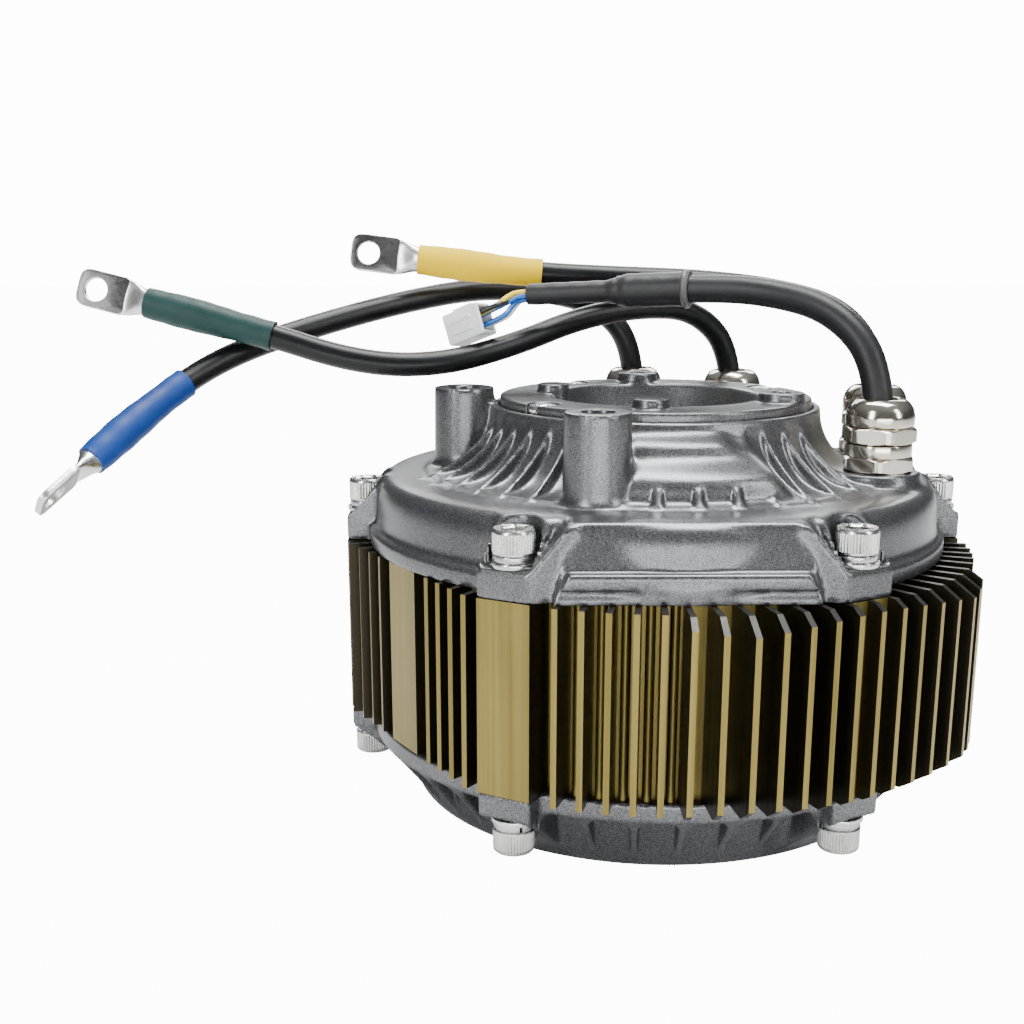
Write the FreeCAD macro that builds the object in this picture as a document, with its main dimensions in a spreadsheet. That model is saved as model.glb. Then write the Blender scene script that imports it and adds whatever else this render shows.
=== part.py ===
# Electric motorcycle motor: a finned shell between two cast covers, with four cable glands.
# Lengths are millimetres and angles are degrees. The base face lies at z = 0, the shaft is
# the z axis, and the six screw columns stand at multiples of 60 degrees from the x axis.
import FreeCAD
import Part
import math
import os
import Sketcher

V = FreeCAD.Vector
UP = V(0, 0, 1)
doc = FreeCAD.newDocument("MotorcycleMotor")
sheet = doc.addObject("Spreadsheet::Sheet", "Sizes")


class Size:
    """A number together with the sheet formula that gives it."""

    def __init__(self, value, formula):
        self.value = value
        self.formula = formula

    def __float__(self):
        return float(self.value)

    def __add__(self, other):
        return Size(self.value + float(other), "(%s + %s)" % (self.formula, formula_of(other)))

    def __radd__(self, other):
        return Size(float(other) + self.value, "(%s + %s)" % (formula_of(other), self.formula))

    def __sub__(self, other):
        return Size(self.value - float(other), "(%s - %s)" % (self.formula, formula_of(other)))

    def __rsub__(self, other):
        return Size(float(other) - self.value, "(%s - %s)" % (formula_of(other), self.formula))

    def __mul__(self, other):
        return Size(self.value * float(other), "(%s * %s)" % (self.formula, formula_of(other)))

    __rmul__ = __mul__

    def __truediv__(self, other):
        return Size(self.value / float(other), "(%s / %s)" % (self.formula, formula_of(other)))

    def __neg__(self):
        return self * -1


def formula_of(number):
    return number.formula if isinstance(number, Size) else "%.6f" % number


# Driving dimensions
sizes = {
    # height of the stack, from the rest face up
    "base_height": 22.0,
    "shell_height": 47.5,
    "shoulder_rise": 18.5,
    "lip_rise": 36.5,
    "plate_proud": 2.2,
    "boss_proud": 4.0,
    # finned shell
    "bore_radius": 69.0,
    "root_radius": 74.0,
    "bead_radius": 1.1,
    "fin_thickness": 1.45,
    "fin_pitch": 4.2,
    "short_fin_radius": 84.3,
    "tall_fin_radius": 87.9,
    "tall_fin_crest": 91.1,
    "flat_fin_distance": 76.9,
    "chamfer_radius": 85.5,
    "chamfer_slope": 0.66,
    "column_face": 83.25,
    "column_width": 13.8,
    "screw_circle_radius": 78.0,
    # covers
    "cover_rim_radius": 77.4,
    "cover_rim_height": 4.5,
    "cover_wall_radius": 75.4,
    "shoulder_radius": 73.2,
    "flank_foot_radius": 60.5,
    "lip_radius": 44.3,
    "lip_width": 2.3,
    "plate_thickness": 7.2,
    "ceiling_thickness": 4.2,
    "inner_wall_radius": 69.5,
    "spigot_depth": 3.0,
    "spigot_width": 3.3,
    "spigot_gap": 0.1,
    "ring_groove_depth": 1.6,
    "ring_groove_width": 2.0,
    "ring_section": 1.6,
    "cover_lug_height": 7.3,
    "base_lug_height": 6.2,
    "pocket_radius": 6.5,
    "cover_rib_thickness": 1.4,
    "cover_rib_pitch": 8.2,
    "foot_rib_pitch": 9.0,
    "panel_half_width": 27.5,
    "panel_distance": 76.8,
    "base_rim_radius": 77.2,
    "base_rim_height": 5.2,
    "base_foot_radius": 62.0,
    "base_floor": 5.5,
    "base_rib_thickness": 2.2,
    "base_rib_pitch": 9.0,
    "base_wall": 4.6,
    # bosses and plate
    "tall_boss_radius": 8.0,
    "tall_boss_circle": 56.0,
    "left_boss_circle": 51.4,
    "tall_boss_thread": 4.0,
    "tall_boss_depth": 20.0,
    "tall_boss_depth_step": 0.6,
    "plate_gap": 0.3,
    "dish_radius": 28.0,
    "dish_throat": 14.0,
    "plate_spigot_radius": 33.0,
    "plate_boss_radius": 5.9,
    "plate_boss_height": 2.6,
    "plate_boss_thread": 2.5,
    "plate_boss_depth": 7.5,
    # small screws: plate and sensor board
    "plate_screw_radius": 2.0,
    "plate_screw_length": 9.5,
    "plate_screw_head": 3.9,
    "plate_screw_head_height": 2.2,
    "plate_screw_flats": 2.5,
    "plate_screw_socket": 1.4,
    "plate_screw_sink": 2.6,
    "board_screw_radius": 1.25,
    "board_screw_length": 6.5,
    "board_screw_head": 2.4,
    "board_screw_head_height": 1.6,
    "board_screw_flats": 2.0,
    "board_screw_socket": 0.9,
    "small_screw_clearance": 0.2,
    # case screws, washers
    "screw_radius": 3.0,
    "screw_length": 20.0,
    "screw_head_radius": 5.0,
    "screw_head_height": 6.0,
    "socket_flats": 5.0,
    "socket_depth": 3.1,
    "screw_clearance": 0.3,
    "thread_gap": 0.05,
    "tapped_depth": 12.0,
    "spring_washer_height": 1.6,
    "spring_washer_radius": 4.9,
    "spring_washer_slit": 0.8,
    "flat_washer_height": 1.2,
    "flat_washer_radius": 5.5,
    # glands
    "gland_pad_rise": 22.0,
    "gland_pad_radius": 10.6,
    "gland_thread_radius": 8.0,
    "gland_flats": 17.0,
    "gland_hex_height": 3.8,
    "gland_collar_height": 3.4,
    "gland_collar_radius": 8.4,
    "gland_tube_radius": 6.9,
    "gland_tube_height": 4.6,
    "gland_tube_bore": 5.9,
    "gland_nut_hex_height": 4.1,
    "gland_dome_height": 7.0,
    "gland_dome_radius": 8.6,
    "gland_nut_bore": 4.2,
    "gland_bore": 4.6,
    "gland_gap": 0.1,
    "seal_height": 6.0,
    # cables
    "phase_cable_radius": 3.35,
    "sensor_cable_radius": 3.75,
    "cable_gap": 0.1,
    "sleeve_wall": 0.75,
    "sleeve_length": 36.0,
    "lug_barrel_radius": 3.6,
    "lug_barrel_length": 7.0,
    "lug_neck_length": 5.5,
    "lug_palm_length": 14.0,
    "lug_palm_width": 10.4,
    "lug_palm_thickness": 1.8,
    "lug_hole_radius": 3.2,
    "sensor_sleeve_length": 18.0,
    "sensor_sleeve_wall": 0.8,
    "wire_sleeve_radius": 2.9,
    "wire_sleeve_length": 26.0,
    "grey_ring_width": 1.8,
    "grey_ring_wall": 0.55,
    "wire_radius": 0.75,
    "connector_width": 7.6,
    "connector_height": 8.8,
    "connector_length": 12.0,
    "connector_wall": 0.9,
    # stator
    "stack_height": 30.0,
    "stack_gap": 0.05,
    "stator_bore_radius": 42.0,
    "yoke_width": 7.95,
    "tooth_count": 18,
    "tooth_width": 6.5,
    "tooth_tip": 2.2,
    "slot_opening": 2.4,
    "insulator_thickness": 1.2,
    "insulator_rim_height": 5.0,
    "coil_thickness": 3.9,
    "coil_inner_radius": 46.5,
    "coil_outer_radius": 59.5,
    "coil_gap": 0.2,
    # rotor
    "air_gap": 0.6,
    "magnet_thickness": 3.8,
    "magnet_count": 16,
    "magnet_span": 19.5,
    "end_plate_thickness": 2.0,
    "end_plate_radius": 36.0,
    "core_seat_radius": 15.0,
    "collar_radius": 17.0,
    "shaft_fit": 0.02,
    "circlip_width": 1.2,
    "circlip_depth": 0.8,
    "circlip_proud": 2.4,
    "sensor_ring_radius": 33.0,
    "sensor_ring_width": 4.0,
    "sensor_ring_height": 2.6,
    "chip_gap": 0.6,
    "board_thickness": 1.6,
    "board_outer_radius": 40.0,
    "board_inner_radius": 28.8,
    "board_post_circle": 36.5,
    "board_post_radius": 3.0,
    # bearings
    "base_bearing_bore": 10.0,
    "base_bearing_outside": 21.0,
    "cover_bearing_bore": 12.5,
    "cover_bearing_outside": 23.5,
    "bearing_width": 12.0,
    "ball_radius": 3.15,
    "ball_gap": 0.08,
    "base_ball_count": 9,
    "cover_ball_count": 10,
    "race_lip": 2.3,
    "cage_thickness": 1.1,
    "cage_height": 5.0,
    "bearing_housing_wall": 4.5,
    "preload_height": 1.0,
    "preload_thickness": 0.45,
    # output side of the shaft
    "seal_width": 6.0,
    "seal_outside": 21.0,
    "seal_lip_gap": 0.05,
    "stub_radius": 8.5,
    "stub_end_below_plate": 11.2,
    "spline_count": 6,
    "spline_depth": 1.2,
    "spline_groove_width": 1.9,
}
for row, (alias, number) in enumerate(sizes.items(), start=1):
    sheet.set("A%d" % row, alias)
    sheet.set("B%d" % row, "%g" % number)
    sheet.setAlias("B%d" % row, alias)
doc.recompute()


class Named:
    """The sheet's cells by name, each as a Size."""

    def __getattr__(self, alias):
        return Size(float(sheet.get(alias)), "Sizes." + alias)


s = Named()
nodes = []


def bind(thing, **values):
    for name, value in values.items():
        path = name.replace("__", ".")
        if isinstance(value, Size):
            thing.setExpression(path, value.formula)
        elif "." in path:
            thing.setExpression(path, formula_of(value))
        else:
            setattr(thing, name, value)
    return thing


def add(kind, name):
    thing = doc.addObject(kind, name)
    thing.Label = name
    return thing


def node(thing, label):
    # A finished sub-part: its label is the name of its file.
    thing.Label = label
    nodes.append(thing)
    return thing


def around(angle, radius=0, z=0, turn=0):
    # A placement on a circle about the shaft, turned to face outwards.
    spin = FreeCAD.Rotation(UP, float(angle) + turn)
    out = FreeCAD.Rotation(UP, float(angle)).multVec(V(float(radius), 0, float(z)))
    return FreeCAD.Placement(out, spin)


def feature(name, shape, placement=None):
    thing = add("Part::Feature", name)
    thing.Shape = shape
    if placement is not None:
        thing.Placement = placement
    return thing


def copies(name, source, placements):
    # Separate copies of one solid, as one group.
    doc.recompute()
    shapes = []
    for placement in placements:
        shape = source.Shape.copy()
        shape.Placement = placement.multiply(shape.Placement)
        shapes.append(shape)
    return feature(name, Part.makeCompound(shapes))


def outlined(body, name, plane_role, points):
    # A closed outline whose corners are tied to the sheet, on one of the body's own planes.
    sketch = body.newObject("Sketcher::SketchObject", name)
    plane = [f for f in body.Origin.OriginFeatures if f.Role == plane_role][0]
    sketch.AttachmentSupport = [(plane, "")]
    sketch.MapMode = "FlatFace"
    corners = [V(float(a), float(b), 0) for a, b in points]
    for first, second in zip(corners, corners[1:] + corners[:1]):
        sketch.addGeometry(Part.LineSegment(first, second), False)
    for i, (a, b) in enumerate(points):
        sketch.addConstraint(Sketcher.Constraint("Coincident", i - 1 if i else len(points) - 1, 2, i, 1))
        for kind, value, axis in (("DistanceX", a, -2), ("DistanceY", b, -1)):
            if not isinstance(value, Size) and value == 0:
                sketch.addConstraint(Sketcher.Constraint("PointOnObject", i, 1, axis))
                continue
            number = sketch.addConstraint(Sketcher.Constraint(kind, -1, 1, i, 1, float(value)))
            if isinstance(value, Size):
                sketch.setExpression("Constraints[%d]" % number, value.formula)
    return sketch


def turned(name, points, sweep=360, middle=0):
    # A solid of revolution about the shaft; a part turn is centred on the angle "middle".
    body = add("PartDesign::Body", name)
    sketch = outlined(body, name + "_outline", "XZ_Plane", points)
    turn = body.newObject("PartDesign::Revolution", name + "_turned")
    turn.Profile = sketch
    turn.ReferenceAxis = (sketch, ["V_Axis"])
    turn.Angle = sweep
    turn.Midplane = sweep < 360
    sketch.Visibility = False
    body.Placement = around(middle)
    return body


def slab(name, points, thickness, angle):
    # A flat prism in the plane through the shaft at that angle, centred on the plane.
    body = add("PartDesign::Body", name)
    sketch = outlined(body, name + "_outline", "XZ_Plane", points)
    pad = body.newObject("PartDesign::Pad", name + "_pad")
    pad.Profile = sketch
    pad.Midplane = True
    bind(pad, Length=thickness)
    body.Placement = around(angle)
    return body


def cylinder(name, radius, height, z=0, angle=0, circle=0):
    thing = add("Part::Cylinder", name)
    bind(thing, Radius=radius, Height=height)
    thing.Placement = around(angle, circle, z)
    if isinstance(z, Size):
        thing.setExpression("Placement.Base.z", z.formula)
    return thing


def box(name, length, width, height, z, angle=0, start=0):
    # A box lying along a radius: it starts at that distance and is centred across it.
    thing = add("Part::Box", name)
    bind(thing, Length=length, Width=width, Height=height)
    spin = FreeCAD.Rotation(UP, float(angle))
    corner = spin.multVec(V(float(start), -float(width) / 2, float(z)))
    thing.Placement = FreeCAD.Placement(corner, spin)
    return thing


def hexagon(name, flats, height, z, turn=0):
    thing = add("Part::Prism", name)
    bind(thing, Circumradius=flats / math.sqrt(3), Height=height)
    thing.Polygon = 6
    thing.Placement = around(turn, 0, z)
    return thing


def fuse(name, things):
    thing = add("Part::MultiFuse", name)
    thing.Shapes = things
    thing.Refine = True
    return thing


def cut(name, base, tools):
    tool = tools[0]
    if len(tools) > 1:
        tool = add("Part::Compound", name + "_tools")
        tool.Links = tools
    thing = add("Part::Cut", name)
    thing.Base = base
    thing.Tool = tool
    thing.Refine = True
    return thing


def common(name, base, tool):
    thing = add("Part::Common", name)
    thing.Base = base
    thing.Tool = tool
    return thing


# Heights of the stack
shell_top = s.base_height + s.shell_height
shoulder_top = shell_top + s.shoulder_rise
lip_top = shell_top + s.lip_rise
plate_top = lip_top + s.plate_proud
boss_top = lip_top + s.boss_proud
gland_seat = shell_top + s.gland_pad_rise
upper_seat = shell_top + s.cover_lug_height
lower_seat = s.base_height - s.base_lug_height
columns = [60 * i for i in range(6)]


# Finned shell: one extrusion, then turned at both ends
def strip(angle, inner, outer, width):
    # A flat rectangle along a radius.
    half = width / 2
    corners = [V(inner, -half, 0), V(outer, -half, 0), V(outer, half, 0), V(inner, half, 0)]
    shape = Part.Face(Part.makePolygon(corners + corners[:1]))
    shape.rotate(V(), UP, angle)
    return shape


def tall_fin_reach(offset):
    # The tall fins stand highest a little more than 20 degrees each side of their middle column.
    middle, crest = float(s.tall_fin_radius), float(s.tall_fin_crest)
    rise = crest - middle
    crest_at = 22.0
    if abs(offset) <= crest_at:
        return middle + rise * (abs(offset) / crest_at) ** 1.6
    return crest - 0.25 * (abs(offset) - crest_at)


def shell_outline():
    thick, pitch = float(s.fin_thickness), float(s.fin_pitch)
    root, bore = float(s.root_radius), float(s.bore_radius)
    short, column = float(s.short_fin_radius), float(s.column_width)
    flat = float(s.flat_fin_distance)
    disc = Part.Face(Part.Wire(Part.Circle(V(), UP, root).toShape()))
    inside = root - (root - bore) / 2
    pieces = []
    for angle in columns:
        pieces.append(strip(angle, inside, float(s.column_face), column))
    # front and far sectors: short fins, with a bead on the wall between each two
    for sector in (-90, 90, 150):
        for i in range(-5, 6):
            if sector == -90 and i > -1:
                continue
            pieces.append(strip(sector + i * pitch, inside, short, thick))
        for i in range(-6, 6):
            if sector == -90 and i > -1:
                continue
            bead = Part.Circle(V(root + float(s.bead_radius) * 0.8, 0, 0), UP, float(s.bead_radius))
            shape = Part.Face(Part.Wire(bead.toShape()))
            shape.rotate(V(), UP, sector + (i + 0.5) * pitch)
            pieces.append(shape)
    # tall fins about the column at -60 degrees
    tall_count = 15
    tall_pitch = 60.4 / (tall_count - 1)
    for i in range(tall_count):
        offset = (i - (tall_count - 1) / 2) * tall_pitch
        pieces.append(strip(-60 + offset, inside, tall_fin_reach(offset), thick))
    for i in range(5):
        pieces.append(strip(-25.2 + i * 4.0, inside, short + 0.3 * (4 - i), thick))
    # two flat sectors: a pad and four fins a side that end on one plane
    for sector in (-150, 30):
        frame = []
        half = column / 2
        corners = [V(inside, -half, 0), V(flat, -half, 0), V(flat, half, 0), V(inside, half, 0)]
        frame.append(Part.Face(Part.makePolygon(corners + corners[:1])))
        for side in (-1, 1):
            for i in range(4):
                angle = side * (9.7 + i * 4.25)
                reach = flat / math.cos(math.radians(angle))
                frame.append(strip(angle, inside, reach, thick))
        for shape in frame:
            shape.rotate(V(), UP, sector)
            pieces.append(shape)
    outline = disc.multiFuse(pieces).removeSplitter()
    bore_disc = Part.Face(Part.Wire(Part.Circle(V(), UP, bore).toShape()))
    return outline.cut(bore_disc)


shell_face = feature("shell_outline", shell_outline(), around(0, 0, s.base_height))
shell_bar = add("Part::Extrusion", "shell_bar")
shell_bar.Base = shell_face
shell_bar.Dir = UP
shell_bar.Solid = True
bind(shell_bar, LengthFwd=s.shell_height)
envelope_radius = s.tall_fin_crest + 4
chamfer_drop = (envelope_radius - s.chamfer_radius) * s.chamfer_slope
shell_envelope = turned(
    "shell_envelope",
    [
        (0, s.base_height),
        (s.chamfer_radius, s.base_height),
        (envelope_radius, s.base_height + chamfer_drop),
        (envelope_radius, shell_top - chamfer_drop),
        (s.chamfer_radius, shell_top),
        (0, shell_top),
    ],
)
shell_turned = common("shell_turned", shell_bar, shell_envelope)
tapped_radius = s.screw_radius + s.thread_gap
shell_holes = []
for angle in columns:
    name = "shell_thread_%d" % angle
    for end, low in (("_low", s.base_height), ("_high", shell_top - s.tapped_depth)):
        shell_holes.append(
            cylinder(name + end, tapped_radius, s.tapped_depth, low, angle, s.screw_circle_radius)
        )
finned_shell = node(cut("finned_shell", shell_turned, shell_holes), "finned_shell")


# Cable-side cover: a turned casting with a hub, then lugs, panel, ribs, bosses and bores
spigot_radius = s.bore_radius - s.spigot_gap
spigot_inside = spigot_radius - s.spigot_width
groove_floor = spigot_radius - s.ring_groove_depth
groove_land = (s.spigot_depth - s.ring_groove_width) / 2
spigot_end = shell_top - s.spigot_depth
ceiling = shoulder_top - s.ceiling_thickness
plate_seat = plate_top - s.plate_thickness
recess_radius = s.lip_radius - s.lip_width
cover_bearing_low = shell_top - 3.5
cover_bearing_high = cover_bearing_low + s.bearing_width
seal_low = cover_bearing_high + 1.5
seal_high = seal_low + s.seal_width
plate_pocket = seal_high + 0.5
housing_radius = s.cover_bearing_outside + s.bearing_housing_wall
plate_bore = s.plate_spigot_radius + s.plate_gap

cover_form = turned(
    "cover_form",
    [
        (spigot_inside, spigot_end),
        (spigot_radius, spigot_end),
        (spigot_radius, spigot_end + groove_land),
        (groove_floor, spigot_end + groove_land),
        (groove_floor, shell_top - groove_land),
        (spigot_radius, shell_top - groove_land),
        (spigot_radius, shell_top),
        (s.cover_rim_radius, shell_top),
        (s.cover_rim_radius, shell_top + s.cover_rim_height),
        (s.cover_wall_radius, shell_top + s.cover_rim_height + 1.8),
        (s.cover_wall_radius - 0.7, shoulder_top - 7),
        (s.shoulder_radius, shoulder_top - 3.4),
        (s.shoulder_radius - 3, shoulder_top - 1.1),
        (s.shoulder_radius - 7.5, shoulder_top),
        (s.flank_foot_radius, shoulder_top + 0.2),
        (s.flank_foot_radius - 6.5, shoulder_top + 1.8),
        (s.lip_radius + 4.7, shoulder_top + 5),
        (s.lip_radius + 1.7, lip_top - 8),
        (s.lip_radius + 0.4, lip_top - 1.4),
        (s.lip_radius, lip_top),
        (recess_radius, lip_top),
        (recess_radius, plate_seat),
        (plate_bore, plate_seat),
        (plate_bore, plate_pocket),
        (s.seal_outside, plate_pocket),
        (s.seal_outside, seal_low),
        (s.seal_outside - 1, seal_low),
        (s.seal_outside - 1, cover_bearing_high),
        (s.cover_bearing_outside, cover_bearing_high),
        (s.cover_bearing_outside, cover_bearing_low - 0.5),
        (housing_radius, cover_bearing_low - 0.5),
        (housing_radius, ceiling - 4),
        (housing_radius + 4, ceiling),
        (s.inner_wall_radius - 5.5, ceiling),
        (s.inner_wall_radius - 0.5, ceiling - 4),
        (s.inner_wall_radius - 0.5, shell_top + 5),
        (spigot_inside, shell_top + 1.5),
    ],
)
cover_parts = [cover_form]
cover_cuts = []
for angle in columns:
    cover_parts.append(
        slab(
            "cover_lug_%d" % angle,
            [
                (spigot_radius + 0.6, shell_top),
                (s.column_face, shell_top),
                (s.column_face, upper_seat),
                (s.shoulder_radius + 0.6, shoulder_top - 1.6),
                (s.shoulder_radius - 5, shoulder_top - 0.6),
                (spigot_radius + 0.6, ceiling - 6),
            ],
            s.column_width,
            angle,
        )
    )
    cover_cuts.append(
        cylinder(
            "cover_pocket_%d" % angle,
            s.pocket_radius,
            s.shoulder_rise,
            upper_seat,
            angle,
            s.screw_circle_radius,
        )
    )
    cover_cuts.append(
        cylinder(
            "cover_lug_hole_%d" % angle,
            s.screw_radius + s.screw_clearance,
            s.cover_lug_height + 2,
            shell_top - 1,
            angle,
            s.screw_circle_radius,
        )
    )
panel_top = shoulder_top - 1.3
cover_parts.append(
    slab(
        "cover_panel",
        [
            (spigot_radius + 0.6, shell_top),
            (s.panel_distance - 0.6, shell_top),
            (s.panel_distance + 0.8, shell_top + 3.6),
            (s.panel_distance + 0.6, shell_top + 5.4),
            (s.panel_distance - 1.0, shell_top + 7),
            (s.shoulder_radius - 0.2, panel_top - 1),
            (s.shoulder_radius - 1.6, panel_top),
            (s.shoulder_radius - 9, shoulder_top),
            (s.inner_wall_radius - 6, ceiling + 1),
            (spigot_radius + 0.6, ceiling - 3),
        ],
        s.panel_half_width * 2,
        -90,
    )
)
# two soft steps across the front of the hub
cover_parts.append(
    turned(
        "hub_steps",
        [
            (recess_radius + 1, shoulder_top - 1),
            (s.flank_foot_radius, shoulder_top - 1),
            (s.flank_foot_radius - 0.4, shoulder_top + 2),
            (s.flank_foot_radius - 2, shoulder_top + 3.4),
            (s.flank_foot_radius - 3.8, shoulder_top + 7.6),
            (s.flank_foot_radius - 6, shoulder_top + 9.4),
            (s.lip_radius + 6.2, shoulder_top + 11),
            (s.lip_radius + 5, shoulder_top + 13.6),
            (s.lip_radius + 1.6, lip_top - 2.2),
            (recess_radius + 1, lip_top - 1.8),
        ],
        34,
        -86,
    )
)
rib_outline = [
    (recess_radius + 1, shoulder_top - 1),
    (s.flank_foot_radius + 0.6, shoulder_top - 1),
    (s.flank_foot_radius + 0.6, shoulder_top + 0.4),
    (s.flank_foot_radius - 5.5, shoulder_top + 4.6),
    (s.lip_radius + 5.6, shoulder_top + 9.4),
    (s.lip_radius + 2.8, lip_top - 5),
    (s.lip_radius + 0.6, lip_top - 1.2),
    (recess_radius + 1, lip_top - 1.2),
]
rib_angles = [-124.5 - i * float(s.cover_rib_pitch) for i in range(6)]
rib_angles += [-41 - i * float(s.foot_rib_pitch) for i in range(4)]
rib_angles += [26 + i * float(s.cover_rib_pitch) for i in range(3)]
rib_angles += [110 + i * float(s.cover_rib_pitch) for i in range(6)]
for number, angle in enumerate(rib_angles):
    cover_parts.append(slab("hub_rib_%d" % number, rib_outline, s.cover_rib_thickness, angle))
for number in range(3):
    cover_parts.append(
        slab(
            "foot_rib_%d" % number,
            [
                (s.flank_foot_radius - 8, shoulder_top - 1),
                (s.flank_foot_radius + 1.8, shoulder_top - 1),
                (s.flank_foot_radius + 1.6, shoulder_top + 0.8),
                (s.flank_foot_radius - 1.2, shoulder_top + 4.6),
                (s.flank_foot_radius - 8, shoulder_top + 4.6),
            ],
            s.cover_rib_thickness * 1.4,
            -95.3 + number * float(s.foot_rib_pitch),
        )
    )
# where each tapped boss stands: angle about the shaft and distance from it;
# each tapped hole is a little less deep than the one before
tall_bosses = [(-110.0, s.tall_boss_circle), (178.0, s.left_boss_circle)]
for number, (angle, circle) in enumerate(tall_bosses):
    thread_depth = s.tall_boss_depth - s.tall_boss_depth_step * number
    cover_parts.append(
        cylinder(
            "tall_boss_%d" % number,
            s.tall_boss_radius,
            boss_top - ceiling - 1,
            ceiling + 1,
            angle,
            circle,
        )
    )
    cover_parts.append(
        slab(
            "tall_boss_web_%d" % number,
            [
                (recess_radius + 1, ceiling + 1),
                (circle, ceiling + 1),
                (circle, lip_top - 6),
                (circle - s.tall_boss_radius, lip_top - 1.5),
                (recess_radius + 1, lip_top - 1.5),
            ],
            s.tall_boss_radius,
            angle,
        )
    )
    cover_cuts.append(
        cylinder(
            "tall_boss_thread_%d" % number,
            s.tall_boss_thread,
            thread_depth,
            boss_top - thread_depth,
            angle,
            circle,
        )
    )
# where each gland stands: angle about the shaft and distance from it
gland_places = {
    "sensor": (-24.4, 60.0),
    "yellow": (6.8, 62.4),
    "green": (60.2, 60.3),
    "blue": (89.6, 60.5),
}
for name, (angle, circle) in gland_places.items():
    cover_parts.append(
        cylinder(
            name + "_gland_pad",
            s.gland_pad_radius,
            gland_seat - ceiling - 1,
            ceiling + 1,
            angle,
            circle,
        )
    )
    cover_cuts.append(
        cylinder(
            name + "_gland_thread",
            s.gland_thread_radius + s.thread_gap,
            gland_seat - ceiling + 2,
            ceiling - 1,
            angle,
            circle,
        )
    )
board_top = shell_top - 0.7
board_angles = [30, 150, 270]
for angle in board_angles:
    cover_parts.append(
        cylinder(
            "board_post_%d" % angle,
            s.board_post_radius,
            ceiling + 1 - board_top,
            board_top,
            angle,
            s.board_post_circle,
        )
    )
    cover_cuts.append(
        cylinder(
            "board_thread_%d" % angle,
            s.board_screw_radius + s.thread_gap,
            s.board_screw_length + 1.5,
            board_top,
            angle,
            s.board_post_circle,
        )
    )
plate_screw_angles = [-144.5, 30.0, 122.0]
plate_thread_depth = s.plate_screw_length + s.plate_screw_sink - s.plate_thickness + 3
plate_screw_circle = (recess_radius + plate_bore) / 2
for angle in plate_screw_angles:
    cover_cuts.append(
        cylinder(
            "plate_thread_%d" % angle,
            s.plate_screw_radius + s.thread_gap,
            plate_thread_depth,
            plate_seat - plate_thread_depth,
            angle,
            plate_screw_circle,
        )
    )
cover_casting = fuse("cover_casting", cover_parts)
cable_side_cover = node(cut("cable_side_cover", cover_casting, cover_cuts), "cable_side_cover")


# Base cover: a ribbed bowl
base_form = turned(
    "base_form",
    [
        (0, 0),
        (s.base_foot_radius, 0),
        (s.base_foot_radius + 2.6, 1.0),
        (s.base_foot_radius + 4.2, 3.2),
        (s.base_rim_radius - 5.6, s.base_height - s.base_rim_height - 0.6),
        (s.base_rim_radius, s.base_height - s.base_rim_height),
        (s.base_rim_radius, s.base_height),
        (spigot_radius, s.base_height),
        (spigot_radius, s.base_height + groove_land),
        (groove_floor, s.base_height + groove_land),
        (groove_floor, s.base_height + s.spigot_depth - groove_land),
        (spigot_radius, s.base_height + s.spigot_depth - groove_land),
        (spigot_radius, s.base_height + s.spigot_depth),
        (spigot_inside, s.base_height + s.spigot_depth),
        (spigot_inside, s.base_height - s.base_rim_height),
        (s.base_foot_radius - s.base_wall + 4.2, s.base_floor + 2),
        (s.base_foot_radius - s.base_wall, s.base_floor),
        (s.base_bearing_outside + s.bearing_housing_wall, s.base_floor),
        (s.base_bearing_outside + s.bearing_housing_wall, s.base_floor + 0.5 + s.bearing_width),
        (s.base_bearing_outside, s.base_floor + 0.5 + s.bearing_width),
        (s.base_bearing_outside, s.base_floor - 0.5),
        (0, s.base_floor - 0.5),
    ],
)
base_parts = [base_form]
base_cuts = []
for angle in columns:
    base_parts.append(
        slab(
            "base_lug_%d" % angle,
            [
                (spigot_radius + 0.6, s.base_height),
                (s.column_face, s.base_height),
                (s.column_face, lower_seat),
                (s.base_rim_radius - 3, s.base_height - 15),
                (s.base_foot_radius + 5, 2.6),
                (s.base_foot_radius + 1, 2.0),
                (s.base_foot_radius + 1, s.base_height - 12),
            ],
            s.column_width,
            angle,
        )
    )
    base_cuts.append(
        cylinder(
            "base_pocket_%d" % angle,
            s.pocket_radius,
            lower_seat + 2,
            -2,
            angle,
            s.screw_circle_radius,
        )
    )
    base_cuts.append(
        cylinder(
            "base_lug_hole_%d" % angle,
            s.screw_radius + s.screw_clearance,
            s.base_lug_height + 2,
            lower_seat - 1,
            angle,
            s.screw_circle_radius,
        )
    )
base_rib_count = int(round(360 / float(s.base_rib_pitch)))
for number in range(base_rib_count):
    angle = 0.5 + number * float(s.base_rib_pitch)
    to_column = abs((angle + 30) % 60 - 30)
    if to_column < 7:
        continue
    base_parts.append(
        slab(
            "base_rib_%d" % number,
            [
                (s.base_foot_radius - 1, 2),
                (s.base_foot_radius + 4.4, 2),
                (s.base_foot_radius + 6.2, 4.6),
                (s.base_rim_radius - 2.4, s.base_height - s.base_rim_height - 3.4),
                (s.base_rim_radius - 0.4, s.base_height - s.base_rim_height + 1),
                (s.base_rim_radius - 8, s.base_height - s.base_rim_height + 1),
            ],
            s.base_rib_thickness,
            angle,
        )
    )
base_cover = node(cut("base_cover", fuse("base_casting", base_parts), base_cuts), "base_cover")


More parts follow.
